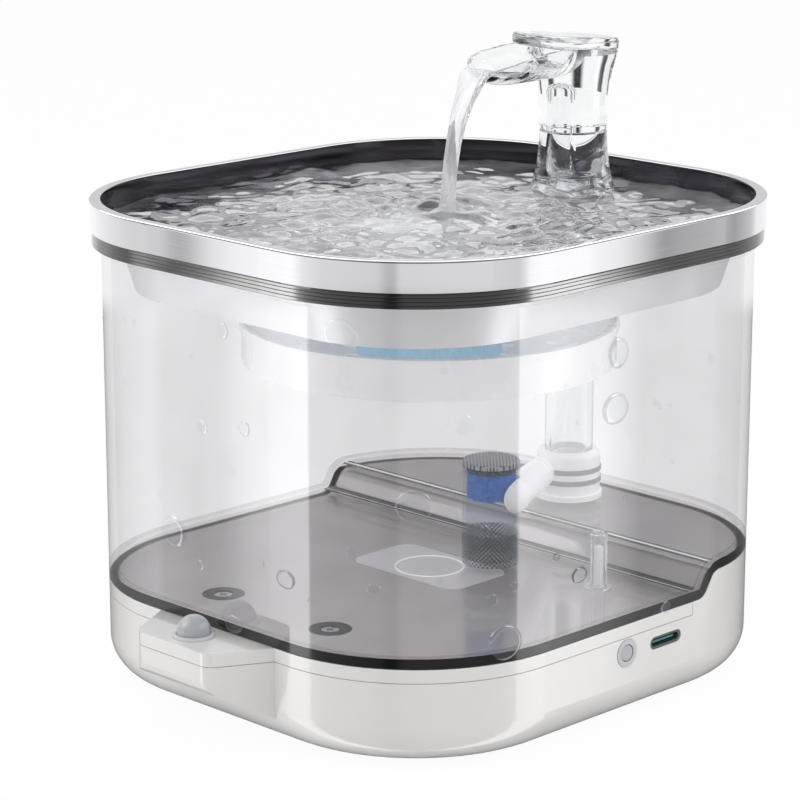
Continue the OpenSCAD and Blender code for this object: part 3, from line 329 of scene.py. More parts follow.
MATERIAL_NODES = {
    "shell": "base_shell base_cover", "hatch": "battery_hatch", "screw": "hatch_screws cover_screws board_screws",
    "rubber": "rubber_feet", "washer": "screw_washers", "frosted": "light_window",
    "board": "light_board sensor_board control_board drive_board", "led": "light_leds", "dome": "pir_dome",
    "collar": "pir_collar", "can": "pir_sensor", "battery": "battery_cells",
    "black": "battery_holder tact_switch level_sensor", "bezel": "button_bezel", "button": "power_button",
    "socket": "usb_c_socket", "tongue": "usb_c_tongue", "core": "stator_core", "copper": "drive_coils",
    "smoke": "tank_floor", "clear": "tank_wall", "gasket": "tank_gasket", "clear_part": "float_guide riser_tube",
    "float": "float_pin", "magnet": "float_magnet impeller_magnet", "pump": "pump_housing pump_bottom intake_duct",
    "band": "pump_bands", "ceramic": "impeller_shaft", "impeller": "impeller", "cage": "intake_cage",
    "cage_lid": "cage_lid", "cage_sponge": "cage_sponge", "steel": "drinking_tray",
    "seal": "tray_grommet foot_seal",
    "holder": "filter_holder", "strainer": "overflow_strainer", "bowl": "filter_bowl", "window": "filter_window",
    "blue_sponge": "filter_sponge", "carbon": "carbon_layer", "cotton": "cotton_layer",
    "glass": "faucet_foot faucet_spout faucet_lever",
}
BY_NODE = {node: key for key, nodes in MATERIAL_NODES.items() for node in nodes.split()}
clear_from_behind(M["smoke_edge"], SMOKE)
whiten(M["water"], (0.92, 0.915, 0.94), 0.0, 0.26, 30.0)
whiten(M["stream"], (0.95, 0.95, 0.97), 0.12, 0.55, 60.0, (2.0, 2.0, 0.25))
for key, tint in (("clear_part", 0.97), ("glass", 0.97), ("water", 0.98), ("stream", 0.98),
                  ("holder", 0.6), ("strainer", 0.7)):
    let_lamps_through(M[key], (tint, tint, tint))
for node_name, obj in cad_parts.items():
    obj.data.materials.clear()
    obj.data.materials.append(M[BY_NODE[node_name]])


# ---------------------------------------------------------------- mesh helpers

def add_object(name, data):
    obj = bpy.data.objects.new(name, data)
    bpy.context.scene.collection.objects.link(obj)
    return obj


def new_mesh(name, verts, faces):
    mesh = bpy.data.meshes.new(name)
    mesh.from_pydata([tuple(v) for v in verts], [], faces)
    return mesh


def face_outward(mesh, weld=0.0):
    bm = bmesh.new()
    bm.from_mesh(mesh)
    if weld:
        bmesh.ops.remove_doubles(bm, verts=bm.verts, dist=weld)
    bmesh.ops.recalc_face_normals(bm, faces=bm.faces)
    bm.to_mesh(mesh)
    bm.free()


def shade_smooth(mesh, degrees):
    mesh.polygons.foreach_set("use_smooth", [True] * len(mesh.polygons))
    mesh.set_sharp_from_angle(angle=math.radians(degrees))


def piece(name, verts, faces, mats, body, smooth=35.0, face_mats=None, stands_for=(), slot=None):
    mesh = new_mesh(name, verts, faces)
    mesh.update()
    obj = add_object(name, mesh)
    for m in (mats if isinstance(mats, (list, tuple)) else [mats]):
        mesh.materials.append(m)
    if face_mats:
        mesh.polygons.foreach_set("material_index", face_mats)
    shade_smooth(mesh, smooth)
    face_outward(mesh)
    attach(obj, body)
    if stands_for:
        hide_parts(*stands_for)
    return obj


def circle(centre, r, n):
    """Points round a centre, as (x, y)."""
    return [(centre[0] + r * math.cos(2 * math.pi * k / n), centre[1] + r * math.sin(2 * math.pi * k / n))
            for k in range(n)]


def bridge(a, b, n):
    """Faces between two closed rings of n points, whose first points are a and b."""
    return [(a + k, a + (k + 1) % n, b + (k + 1) % n, b + k) for k in range(n)]


def closed_tube(rows, n, start=0):
    """Faces of rows of n points joined one after another, with both ends shut."""
    faces = [face for i in range(rows - 1) for face in bridge(start + i * n, start + (i + 1) * n, n)]
    last = start + (rows - 1) * n
    return faces + [tuple(range(start, start + n)), tuple(range(last, last + n))]


def step_arc(c, r, a0, a1, n):
    return [(c[0] + r * math.cos(math.radians(a0 + (a1 - a0) * i / n)),
             c[1] + r * math.sin(math.radians(a0 + (a1 - a0) * i / n))) for i in range(n + 1)]


def step_line(t, n=14):
    """Side view of the stepped deck raised by t, as (y, z) from front to back."""
    a = math.radians(STEP_ANGLE)
    rise = (LOW_R + HIGH_R) * (1 - math.cos(a))
    run = (LOW_R + HIGH_R) * math.sin(a) + (STEP_H - rise) / math.tan(a)
    low = (STEP_Y, BASE_H + LOW_R)
    high = (STEP_Y + run, BASE_H + STEP_H - HIGH_R)
    return ([(-FAR, BASE_H + t)] + step_arc(low, LOW_R - t, -90, STEP_ANGLE - 90, n)
            + step_arc(high, HIGH_R + t, 90 + STEP_ANGLE, 90, n) + [(FAR, BASE_H + STEP_H + t)])


def step_z(y, line):
    for (y0, z0), (y1, z1) in zip(line, line[1:]):
        if y0 <= y <= y1:
            return z0 + (z1 - z0) * (y - y0) / max(y1 - y0, 1e-9)
    return line[-1][1]


FLOOR_UNDER = step_line(SEAT)
FLOOR_TOP = step_line(SEAT + FLOOR_T)
EDGE_LINE = step_line(SEAT + EDGE_T)
STEP_YS = sorted(set(round(p[0], 4) for p in FLOOR_UNDER[1:-1] + FLOOR_TOP[1:-1] + EDGE_LINE[1:-1]))


def plan_ring(r, n=28):
    """Points of the plan at corner radius r, anticlockwise, with extra points along the step."""
    xs = [PLAN_X - 2 * PLAN_X * j / 8 for j in range(1, 8)]
    steps, middle = [y for y in STEP_YS if -PLAN_Y < y < PLAN_Y], [-20.0, 0.0, 20.0]
    sides = [[(x, PLAN_Y + r) for x in xs], [(-PLAN_X - r, y) for y in reversed(middle + steps)],
             [(-x, -PLAN_Y - r) for x in xs], [(PLAN_X + r, y) for y in middle + steps]]
    pts = []
    for k, (cx, cy) in enumerate(((PLAN_X, PLAN_Y), (-PLAN_X, PLAN_Y), (-PLAN_X, -PLAN_Y), (PLAN_X, -PLAN_Y))):
        for i in range(n + 1):
            a = math.radians(90 * k + 90 * i / n)
            pts.append((cx + r * math.cos(a), cy + r * math.sin(a)))
        pts += sides[k]
    return pts


def plan_sweep(name, profile, mats, body, **kw):
    """Carries a closed profile of (corner radius, height or function of y) round the plan."""
    rings = [[P(x, y, z(y) if callable(z) else z) for x, y in plan_ring(r)] for r, z in profile]
    n = len(rings[0])
    verts = [v for ring in rings for v in ring]
    faces = [face for i in range(len(rings)) for face in bridge(i * n, (i + 1) % len(rings) * n, n)]
    return piece(name, verts, faces, mats, body, **kw)


def lathe(name, profile, centre, mats, body, n=96, closed=True, **kw):
    """Turns a profile of (radius, height) about the vertical line through centre."""
    verts, rings = [], []
    for r, z in profile:
        if r < 1e-6:
            rings.append([len(verts)])
            verts.append(P(centre[0], centre[1], z))
        else:
            rings.append(list(range(len(verts), len(verts) + n)))
            verts += [P(x, y, z) for x, y in circle(centre, r, n)]
    faces = []
    pairs = list(zip(rings, rings[1:])) + ([(rings[-1], rings[0])] if closed else [])
    for a, b in pairs:
        for k in range(n):
            m = (k + 1) % n
            q = [a[k % len(a)], a[m % len(a)], b[m % len(b)], b[k % len(b)]]
            q = [v for i, v in enumerate(q) if v not in q[:i]]
            if len(q) > 2:
                faces.append(tuple(q))
    return piece(name, verts, faces, mats, body, **kw)


# ---------------------------------------------------------------- tank

FLANGE_FOOT, FLANGE_TOP = 140.8, 145.3
R_OUT, R_IN = BODY_R, BODY_R - WALL


def edge_top(y):
    return step_z(y, EDGE_LINE)


def floor_under(y):
    return step_z(y, FLOOR_UNDER)


wall_profile = [
    (R_OUT, edge_top), (R_OUT, 138.9), (R_OUT + 0.5, 139.2), (R_OUT + 1.5, 139.4), (R_OUT + 1.5, 140.6),
    (R_OUT + 0.6, FLANGE_FOOT), (R_OUT + 0.6, FLANGE_TOP), (R_IN, FLANGE_TOP), (R_IN, edge_top),
]
plan_sweep("tank_clear_wall", wall_profile, M["clear"], "tank", smooth=30, stands_for=["tank_wall"], slot="clear")

RIB_PITCH, RIB_COUNT, RIB_FACET, RIB_LEAN, RIB_GAP = 1.12, 4, 0.11, 27.0, 0.02
RIB_OUT = R_OUT + 2.98


def flange_profile():
    """Louvred ribs: each has a narrow upright edge and a broad face that leans back."""
    pts = []
    depth = (RIB_PITCH - RIB_GAP - RIB_FACET) * math.tan(math.radians(RIB_LEAN))
    for k in range(RIB_COUNT):
        z = FLANGE_FOOT + 0.05 + k * RIB_PITCH
        pts += [(RIB_OUT, z), (RIB_OUT, z + RIB_FACET), (RIB_OUT - depth, z + RIB_PITCH - RIB_GAP)]
    return pts + [(R_OUT + 0.7, FLANGE_TOP + 0.1), (R_OUT + 0.7, FLANGE_FOOT), (R_OUT + 2.9, FLANGE_FOOT)]


plan_sweep("tank_flange_seal", flange_profile(), M["gasket"], "tank", smooth=15, stands_for=["tank_gasket"],
           slot="washer_rubber")

EDGE_LID, EDGE_INSIDE = 1, 2        # sides of the floor's edge that show the smoke tint only


def stepped_floor():
    """Smoke-tinted plate in rows from front to back, with the dark edge that carries the wall round it."""
    ys = set(STEP_YS)
    for i in range(17):
        s = math.sin(math.radians(90 * i / 16))
        ys |= {round(PLAN_Y + R_IN * s, 4), round(-PLAN_Y - R_IN * s, 4)}
    ys |= {float(v) for v in range(-32, 33, 8)}
    ys = sorted(ys)
    cols = 40
    verts, faces = [], []
    for line in (FLOOR_UNDER, FLOOR_TOP):
        for y in ys:
            over = max(0.0, abs(y) - PLAN_Y)
            half = PLAN_X + math.sqrt(max(0.0, R_IN * R_IN - over * over))
            for c in range(cols + 1):
                verts.append(P(half * (2 * c / cols - 1), y, step_z(y, line)))
    w, layer = cols + 1, len(ys) * (cols + 1)
    for i in range(len(ys) - 1):
        for c in range(cols):
            a = i * w + c
            faces.append((a, a + w, a + w + 1, a + 1))
            faces.append((layer + a, layer + a + 1, layer + a + w + 1, layer + a + w))
    mats = [0] * len(faces)
    base = len(verts)
    edge = [(R_OUT, floor_under), (R_OUT, edge_top), (R_IN, edge_top), (R_IN, floor_under)]
    rings = [[P(x, y, z(y)) for x, y in plan_ring(r)] for r, z in edge]
    n = len(rings[0])
    verts += [v for ring in rings for v in ring]
    for i in range(4):
        faces += bridge(base + i * n, base + (i + 1) % 4 * n, n)
        mats += [0 if i in (EDGE_LID, EDGE_INSIDE) else 1] * n
    return piece("tank_smoke_floor", verts, faces, [M["smoke"], M["smoke_edge"]], "tank", smooth=35,
                 face_mats=mats, stands_for=["tank_floor"], slot="smoke")


stepped_floor()

# Painted shade lines and painted highlight lines along the step's foot and head, as (from y, to y, light: painted
# highlight rather than painted shade)
PAINTED_STEP_LINES = [(31.9, 33.0, False), (33.0, 33.6, True), (33.6, 35.3, False), (41.3, 42.3, False), (42.3, 43.3, True),
              (43.3, 44.4, False)]


# Strips of painted shade and painted highlight laid just over the stepped floor
def painted_step_lines():
    verts, faces, mats = [], [], []
    for y0, y1, light in PAINTED_STEP_LINES:
        n, start = 6, len(verts)
        for i in range(n + 1):
            y = y0 + (y1 - y0) * i / n
            half = PLAN_X + math.sqrt(R_IN ** 2 - max(0.0, y - PLAN_Y) ** 2) - 0.02
            for x in (-half, half):
                verts.append(P(x, y, step_z(y, FLOOR_TOP) + 0.03))
        for i in range(n):
            a = start + 2 * i
            faces.append((a, a + 1, a + 3, a + 2))
            mats.append(1 if light else 0)
    return piece("tank_step_painted_lines", verts, faces, [M["painted_step_shade"], M["painted_step_highlight"]], "tank", smooth=60,
                 face_mats=mats, slot="smoke")


painted_step_lines()


def cage_pieces():
    """Perforated wall and lid of the intake cage."""
    r, wall, seam = CAGE_R, 1.2, CAGE_TOP - 2.0
    lathe("cage_perforated_wall", [(0, CAGE_FOOT), (r, CAGE_FOOT), (r, seam), (r - wall, seam),
                                   (r - wall, CAGE_FOOT + 1.5), (0, CAGE_FOOT + 1.5)],
          CAGE_AT, M["cage"], "pump", closed=False, stands_for=["intake_cage"], slot="cage")
    lathe("cage_perforated_lid", [(0, seam + 0.3), (r, seam + 0.3), (r, CAGE_TOP - 0.6),
                                  (r - 0.25, CAGE_TOP - 0.15), (r - 0.7, CAGE_TOP), (0, CAGE_TOP)],
          CAGE_AT, M["cage_lid"], "lid", closed=False, stands_for=["cage_lid"], slot="cage")


cage_pieces()


def window_circle():
    """Fine ring on the frosted window, over the wall that keeps the light in. Its material glows as a painted
    highlight.
    """
    r, half, rise = 11.2, 0.22, 0.2
    lathe("window_circle", [(r - half, BASE_H - 0.05), (r + half, BASE_H - 0.05), (r + half, BASE_H + rise),
                            (r - half, BASE_H + rise)], WINDOW_AT, M["circle"], "base", slot="frosted")


window_circle()

# ---------------------------------------------------------------- tray and its water

RIM_R, LIP, SHEET, RIM_H = 58.5, 3.0, 0.8, 9.3
RIM_TOP = FLANGE_TOP + 0.3 + RIM_H
TRAY_FLOOR = RIM_TOP - 27.9
SHOULDER = FLANGE_TOP + 1.0
TRAY_R, LEAN = BODY_R - WALL - 1.2, 6.0
# The middle one of these three is the dark copy of the steel, painted shade on the tray's inner sides
BRIGHT, PAINTED_SHADE, UNDER = 0, 1, 2
DRAIN_R, DRAIN_RINGS = 24.0, 10


def tray_piece():
    """Rim, walls and floor of the tray. The face after each point of the profile has that point's material."""
    b, d, u = BRIGHT, PAINTED_SHADE, UNDER
    profile = [
        (RIM_R, RIM_TOP - RIM_H, b), (RIM_R, RIM_TOP - 0.75, b), (RIM_R, RIM_TOP - 0.5, b),
        (RIM_R - 0.12, RIM_TOP - 0.2, b),
        (RIM_R - 0.45, RIM_TOP - 0.02, b), (RIM_R - 0.8, RIM_TOP, b), (RIM_R - LIP - SHEET + 0.6, RIM_TOP, b),
        (RIM_R - LIP - SHEET + 0.15, RIM_TOP - 0.1, d), (RIM_R - LIP - SHEET, RIM_TOP - 0.5, d),
        (RIM_R - LIP - SHEET, SHOULDER + SHEET, d), (TRAY_R - SHEET, SHOULDER + SHEET, d),
        (TRAY_R - LEAN - SHEET, TRAY_FLOOR, b),
        (TRAY_R - LEAN, TRAY_FLOOR - SHEET, u), (TRAY_R, SHOULDER, b), (RIM_R - LIP, SHOULDER, b),
        (RIM_R - LIP, RIM_TOP - SHEET, b), (RIM_R - SHEET, RIM_TOP - SHEET, b), (RIM_R - SHEET, RIM_TOP - RIM_H, b),
    ]
    floor_in, floor_out = 11, 12
    rings = [[P(x, y, z) for x, y in plan_ring(r)] for r, z, _ in profile]
    n = len(rings[0])
    verts = [v for ring in rings for v in ring]
    faces, mats = [], []
    for i in range(len(rings)):
        if i != floor_in:
            faces += bridge(i * n, (i + 1) % len(rings) * n, n)
            mats += [profile[i][2]] * n
    # the floor and its underside go in rings to the drain
    holes = []
    for ring_id, z, mat in ((floor_in, TRAY_FLOOR, b), (floor_out, TRAY_FLOOR - SHEET, u)):
        edge = [(v / 0.001 - OFFSET) for v in rings[ring_id]]
        last = ring_id * n
        for s in range(1, DRAIN_RINGS + 1):
            t = s / DRAIN_RINGS
            start = len(verts)
            for e in edge:
                a = math.atan2(e.y, e.x)
                verts.append(P(e.x + (DRAIN_R * math.cos(a) - e.x) * t, e.y + (DRAIN_R * math.sin(a) - e.y) * t, z))
            faces += bridge(last, start, n)
            mats += [mat] * n
            last = start
        holes.append(last)
    faces += bridge(holes[0], holes[1], n)
    mats += [b] * n
    return piece("tray_steel", verts, faces, [M["steel"], M["steel_painted_shade"], M["steel_under"]], "tray", smooth=30,
                 face_mats=mats, stands_for=["drinking_tray"], slot="steel")


tray_piece()

STREAM_AT = Vector((0.0, 9.0))

# Rings round the stream as height, reach and length; the waves as noise scale and offset, from broad to fine
RING_RISE, RING_REACH, RING_LENGTH = 1.8, 22.0, 2.1
WAVES = [(0.06, (3, 7, 1)), (0.11, (9, 2, 5)), (0.27, (1, 8, 4))]


def water_height(x, y):
    """Rings and waves, which are lower far from the stream."""
    p = Vector((x, y, 0))
    d = (Vector((x, y)) - STREAM_AT).length
    warp = noise.noise(p * 0.045) * 9
    rings = RING_RISE * math.exp(-d / RING_REACH) * math.cos((d + warp) / RING_LENGTH)
    broad, mid, fine = (noise.noise(p * scale + Vector(offset)) for scale, offset in WAVES)
    calm = 0.60 + 0.90 * math.exp(-d / 42)
    return WATER_Z + rings + (1.5 * broad + (1.5 * abs(mid) - 0.4) + 0.30 * fine) * calm


def tray_water():
    """Sheet of water up to the tray's wall, with a skirt down its edge."""
    edge = plan_ring(RIM_R - LIP - SHEET - 0.12, n=40)
    dense = []
    for (x0, y0), (x1, y1) in zip(edge, edge[1:] + edge[:1]):
        m = max(1, int(math.hypot(x1 - x0, y1 - y0) / 2.2))
        dense += [(x0 + (x1 - x0) * k / m, y0 + (y1 - y0) * k / m) for k in range(m)]
    n, rings = len(dense), 84
    verts, faces = [P(0, 0, water_height(0, 0))], []
    for i in range(1, rings + 1):
        s = (i / rings) ** 0.9
        for x, y in dense:
            verts.append(P(x * s, y * s, water_height(x * s, y * s)))
    for k in range(n):
        faces.append((0, 1 + k, 1 + (k + 1) % n))
    for i in range(rings - 1):
        for k in range(n):
            a, b2 = 1 + i * n + k, 1 + i * n + (k + 1) % n
            faces.append((a, a + n, b2 + n, b2))
    low = len(verts)
    for x, y in dense:
        verts.append(P(x, y, WATER_Z - 1.2))
    last = 1 + (rings - 1) * n
    for k in range(n):
        m = (k + 1) % n
        faces.append((last + k, low + k, low + m, last + m))
    return piece("tray_water", verts, faces, M["water"], "tray", smooth=180, slot="clear")


tray_water()

# ---------------------------------------------------------------- faucet

SPOUT_TIP, SPOUT_HALF, SPOUT_T = 22.5, 12.4, 2.0
SPOUT_UNDER, LIP_UNDER, LIP_RISE = 185.7, 188.4, 12.0
RIM_LINE = [(22.5, 190.4), (24.5, 191.6), (27, 192.9), (31, 194.2), (37, 195.4), (46, 196.2), (57, 196.5),
            (80, 196.5)]
HOLLOW_END = 61.0
JOINT_Z = 167.5
COLUMN_TOP = 193.4
PLATE_R, PLATE_FRONT, PLATE_BACK, PLATE_T, PLATE_TILT = 14.0, 58.4, 69.2, 4.0, 5.5
CAVITY_R, CAVITY_AT, CAVITY_FOOT = 3.5, (-2.0, 66.0), 150.5


def along(points, t):
    """Height of a softened line through points at t."""
    for (a, u), (b, v) in zip(points, points[1:]):
        if a <= t <= b:
            k = (t - a) / (b - a)
            k = k * k * (3 - 2 * k) * 0.35 + k * 0.65
            return u + (v - u) * k
    return points[0][1] if t < points[0][0] else points[-1][1]


def raw_mesh(name, verts, faces):
    mesh = new_mesh(name, verts, faces)
    face_outward(mesh, weld=1e-6)
    return add_object(name, mesh)


def turned(name, profile, centre, n=72):
    """Closed solid of revolution for the carving steps."""
    verts = [P(x, y, z) for r, z in profile for x, y in circle(centre, r, n)]
    return raw_mesh(name, verts, closed_tube(len(profile), n))


def scoop(name, tip, half, under_lift, y_end, top_over, round_end=0.0, rows=44, cols=32):
    """Solid whose underside is the spout's trough; its flat top follows the rim line."""
    verts = []
    for i in range(rows + 1):
        t = i / rows
        y = tip + (y_end - tip) * (t ** 1.6 if t < 1 else 1.0)
        k = max(0.0, 1 - (y - tip) / half)
        w = half * math.sqrt(max(0.0, 1 - k * k))
        if round_end and y > y_end - round_end:
            q = (y - (y_end - round_end)) / round_end
            w *= math.sqrt(max(0.0, 1 - q * q))
        lift = max(0.0, 1 - (y - SPOUT_TIP) / LIP_RISE)
        under = SPOUT_UNDER + (LIP_UNDER - SPOUT_UNDER) * lift ** 2 + under_lift
        rim = along(RIM_LINE, y)
        depth = max(0.05, rim - under)
        if round_end and y > y_end - round_end:
            depth *= 0.35 + 0.65 * math.sqrt(max(0.0, 1 - q * q))
        for c in range(cols + 1):
            a = math.pi * (c / cols - 0.5)
            verts.append(P(w * math.sin(a), y, rim - depth * math.cos(a)))
        verts.append(P(w, y, rim + top_over))
        verts.append(P(-w, y, rim + top_over))
    return raw_mesh(name, verts, closed_tube(rows + 1, cols + 3))


def carve(name, base, steps, body, node, smooth=30.0):
    """Joins and cuts closed solids, and keeps the result as one clear piece."""
    for other, operation in steps:
        mod = base.modifiers.new("carve", "BOOLEAN")
        mod.operation = operation
        mod.solver = "EXACT"
        mod.object = other
    mesh = bpy.data.meshes.new_from_object(base.evaluated_get(bpy.context.evaluated_depsgraph_get()))
    for old in [base] + [other for other, _ in steps]:
        bpy.data.objects.remove(old, do_unlink=True)
    mesh.name = name
    obj = add_object(name, mesh)
    mesh.materials.clear()
    mesh.materials.append(M["glass"])
    mesh.polygons.foreach_set("material_index", [0] * len(mesh.polygons))
    shade_smooth(mesh, smooth)
    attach(obj, body)
    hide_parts(node)
    return obj


def cavity_profile(z0, z1, round_foot, round_top):
    """Side view of the bore up the column, with a round end where it stops."""
    r = CAVITY_R
    arc = [math.radians(90 * i / 8) for i in range(9)]
    pts = [(max(0.02, r * math.sin(a)), z0 + r - r * math.cos(a)) for a in arc] if round_foot else [(r, z0)]
    pts += [(max(0.02, r * math.cos(a)), z1 - r + r * math.sin(a)) for a in arc] if round_top else [(r, z1)]
    return pts


def faucet_pieces():
    centre = (0.0, PUMP_Y)
    foot = turned("foot_solid", [
        (14.7, 128.9), (14.8, 129.4), (14.8, 136.0), (14.5, 142.0), (14.2, 146.5), (13.6, 149.5), (12.8, 152.5),
        (12.1, 156.0), (11.6, 160.0), (11.35, 164.0), (11.25, JOINT_Z - 0.4), (10.9, JOINT_Z)], centre)
    inside = turned("foot_cavity", cavity_profile(CAVITY_FOOT, JOINT_Z + 1, True, False), CAVITY_AT)
    carve("faucet_foot_clear", foot, [(inside, "DIFFERENCE")], "faucet_base", "faucet_foot")

    column = turned("column_solid", [
        (10.9, JOINT_Z + 0.3), (11.25, JOINT_Z + 0.7), (11.3, 174.0), (11.5, 179.0), (12.0, 183.5), (12.8, 187.5),
        (13.7, 190.6), (14.3, 192.4), (14.4, COLUMN_TOP)], centre)
    trough = scoop("trough_solid", SPOUT_TIP, SPOUT_HALF, 0.0, 66.0, 0.0)
    hollow = scoop("trough_hollow", SPOUT_TIP + 1.3, SPOUT_HALF - SPOUT_T + 0.3, SPOUT_T, HOLLOW_END, 12.0,
                   round_end=9.0)
    bore = turned("column_cavity", cavity_profile(JOINT_Z - 1, 184.0, False, True), CAVITY_AT)
    carve("faucet_spout_clear", column, [(trough, "UNION"), (hollow, "DIFFERENCE"), (bore, "DIFFERENCE")], "faucet",
          "faucet_spout")
    lever_plate()


def lever_plate():
    """Flat oval plate with soft edges, tilted up to the front."""
    tilt = math.tan(math.radians(PLATE_TILT))
    back = PLATE_BACK + PLATE_R
    profile = [(-3.0, 0.0), (-1.1, 0.05), (-0.35, 0.35), (0.0, 1.1), (0.0, PLATE_T - 1.1), (-0.35, PLATE_T - 0.35),
               (-1.1, PLATE_T - 0.05), (-3.0, PLATE_T)]
    n = 40
    verts = []
    for dr, h in profile:
        for y0, start in ((PLATE_BACK, 0.0), (PLATE_FRONT, 180.0)):
            for i in range(n + 1):
                a = math.radians(start + 180.0 * i / n)
                x, y = (PLATE_R + dr) * math.cos(a), y0 + (PLATE_R + dr) * math.sin(a)
                verts.append(P(x, y, COLUMN_TOP + 0.05 + h + (back - y) * tilt))
    faces = closed_tube(len(profile), 2 * (n + 1))
    piece("faucet_plate_clear", verts, faces, M["glass"], "faucet", smooth=40, stands_for=["faucet_lever"],
          slot="faucet_clear")


faucet_pieces()

# Middle line of the stream as (y, z), with its half width across and its half thickness
STREAM = [(24.0, 191.4, 6.6, 0.5), (21.6, 190.6, 6.2, 0.9), (19.4, 188.2, 5.4, 1.3), (16.6, 183.6, 4.3, 1.6),
          (13.6, 177.0, 3.4, 1.9), (11.2, 169.5, 2.9, 2.1), (9.6, 160.0, 2.7, 2.2), (8.8, 151.5, 2.8, 2.4),
          (8.4, 146.6, 3.6, 3.2)]


def smooth_path(points, per_span=8):
    """Curve through the points, each a tuple of any length."""
    out = []
    for i in range(len(points) - 1):
        p0, p1, p2 = points[max(0, i - 1)], points[i], points[i + 1]
        p3 = points[min(len(points) - 1, i + 2)]
        for k in range(per_span):
            t = k / per_span
            out.append(tuple(0.5 * (2 * b + (c - a) * t + (2 * a - 5 * b + 4 * c - d) * t * t
                                    + (3 * b - a - 3 * c + d) * t ** 3) for a, b, c, d in zip(p0, p1, p2, p3)))
    return out + [points[-1]]


def water_stream():
    """Ribbon of water that leaves the spout flat and draws together as it falls."""
    rows, n = smooth_path(STREAM), 40
    across = Vector((1, 0, 0))
    verts = []
    for i, (y, z, half, thick) in enumerate(rows):
        y1, z1 = rows[min(i + 1, len(rows) - 1)][:2]
        y0, z0 = rows[max(i - 1, 0)][:2]
        out = Vector((0, y1 - y0, z1 - z0)).normalized().cross(across)
        for k in range(n):
            a = 2 * math.pi * k / n
            middle = Vector((0, y, z))
            p = middle + across * half * math.cos(a) + out * thick * math.sin(a)
            strand = noise.noise(Vector((math.cos(a) * 1.7, math.sin(a) * 1.7, z * 0.035)))
            fine = noise.noise(Vector((math.cos(a) * 4.0, math.sin(a) * 4.0, z * 0.07 + 5)))
            swell = 1 + 0.22 * strand + 0.10 * fine
            verts.append(P(*(middle + (p - middle) * swell)))
    return piece("water_stream", verts, closed_tube(len(rows), n), M["stream"], "faucet", smooth=60, slot="clear")


water_stream()

# ---------------------------------------------------------------- drops on the tank's wall

# Drops with a place of their own: x, y, height, half width, half height
DROPS = [
    (51.6, -88.9, 132.3, 5.6, 4.4), (86.35, -7.3, 118.7, 4.4, 4.7), (86.35, -8.2, 101.6, 5.8, 4.8),
    (69.7, -77.2, 81.8, 5.6, 4.8), (-18.7, -92.7, 58.6, 5.6, 5.1), (84.1, -53.4, 37.9, 5.6, 5.4),
    (8.0, -92.7, 34.7, 3.9, 2.8), (86.35, -23.3, 52.5, 3.4, 2.5), (4.5, -92.7, 126.0, 2.9, 2.6),
    (14.0, -92.7, 97.5, 2.4, 2.4), (-5.3, -92.7, 94.3, 3.0, 2.2), (78.9, -65.5, 105.6, 3.0, 3.0),
    (54.6, -87.6, 93.2, 2.0, 1.9), (54.5, -87.6, 66.8, 1.9, 1.8), (31.5, -92.7, 54.4, 4.0, 2.9),
    (59.9, -84.8, 56.0, 1.5, 1.5), (79.3, -64.7, 47.5, 1.7, 1.7), (82.7, -57.6, 51.6, 1.9, 1.8),
    (86.35, 17.3, 32.8, 2.6, 1.9), (74.8, -71.5, 59.1, 1.5, 1.5), (84.9, -50.5, 54.5, 1.6, 1.4),
    (78.4, -66.2, 91.0, 1.8, 1.8), (-7.3, -92.7, 50.1, 2.2, 1.6),
]
# Side view of a drop as (share of its half width, share of its thickness): steep edge, flat crown
DROP_PROFILE = [(1.0, 0.0), (0.985, 0.35), (0.95, 0.65), (0.90, 0.85), (0.84, 0.96), (0.77, 1.0), (0.70, 1.0),
                (0.40, 1.0), (0.04, 1.0)]
DROP_THICK = 0.2
SMALL_DROPS = 90


def drop_shapes():
    """The placed drops, and small ones strewn over the wall."""
    rng = random.Random(11)
    shapes = list(DROPS)
    wide, long, margin = 86.0, 92.0, 6.0
    for _ in range(SMALL_DROPS):
        a = rng.uniform(0, 2 * math.pi)
        x = max(-wide, min(wide, FAR * math.cos(a) * rng.uniform(0.2, 1.0)))
        y = max(-long, min(long, FAR * math.sin(a) * rng.uniform(0.2, 1.0)))
        if max(abs(x) - wide, abs(y) - long) < -margin:
            continue
        r = 0.5 + 1.3 * rng.random() ** 2.5
        shapes.append((x, y, rng.uniform(44.0, 134.0), r, r * rng.uniform(0.85, 1.05)))
    return shapes


def wall_drops():
    verts, faces = [], []
    n = 36
    for x, y, z, half, tall in drop_shapes():
        core = Vector((max(-PLAN_X, min(PLAN_X, x)), max(-PLAN_Y, min(PLAN_Y, y)), 0))
        out = (Vector((x, y, 0)) - core).normalized()
        foot = core + out * (R_OUT + 0.01)
        side = Vector((-out.y, out.x, 0))
        faces += closed_tube(len(DROP_PROFILE), n, start=len(verts))
        for spread, lift in DROP_PROFILE:
            for k in range(n):
                a = 2 * math.pi * k / n
                rise = tall * spread * math.sin(a) * (1.0 if math.sin(a) > 0 else 1.06)
                q = foot + side * (half * spread * math.cos(a)) + out * (0.02 + DROP_THICK * min(half, tall) * lift)
                verts.append(P(q.x, q.y, z + rise))
    return piece("wall_drops", verts, faces, M["drop"], "tank", smooth=60, slot="clear")


wall_drops()

# ---------------------------------------------------------------- camera, floor, light

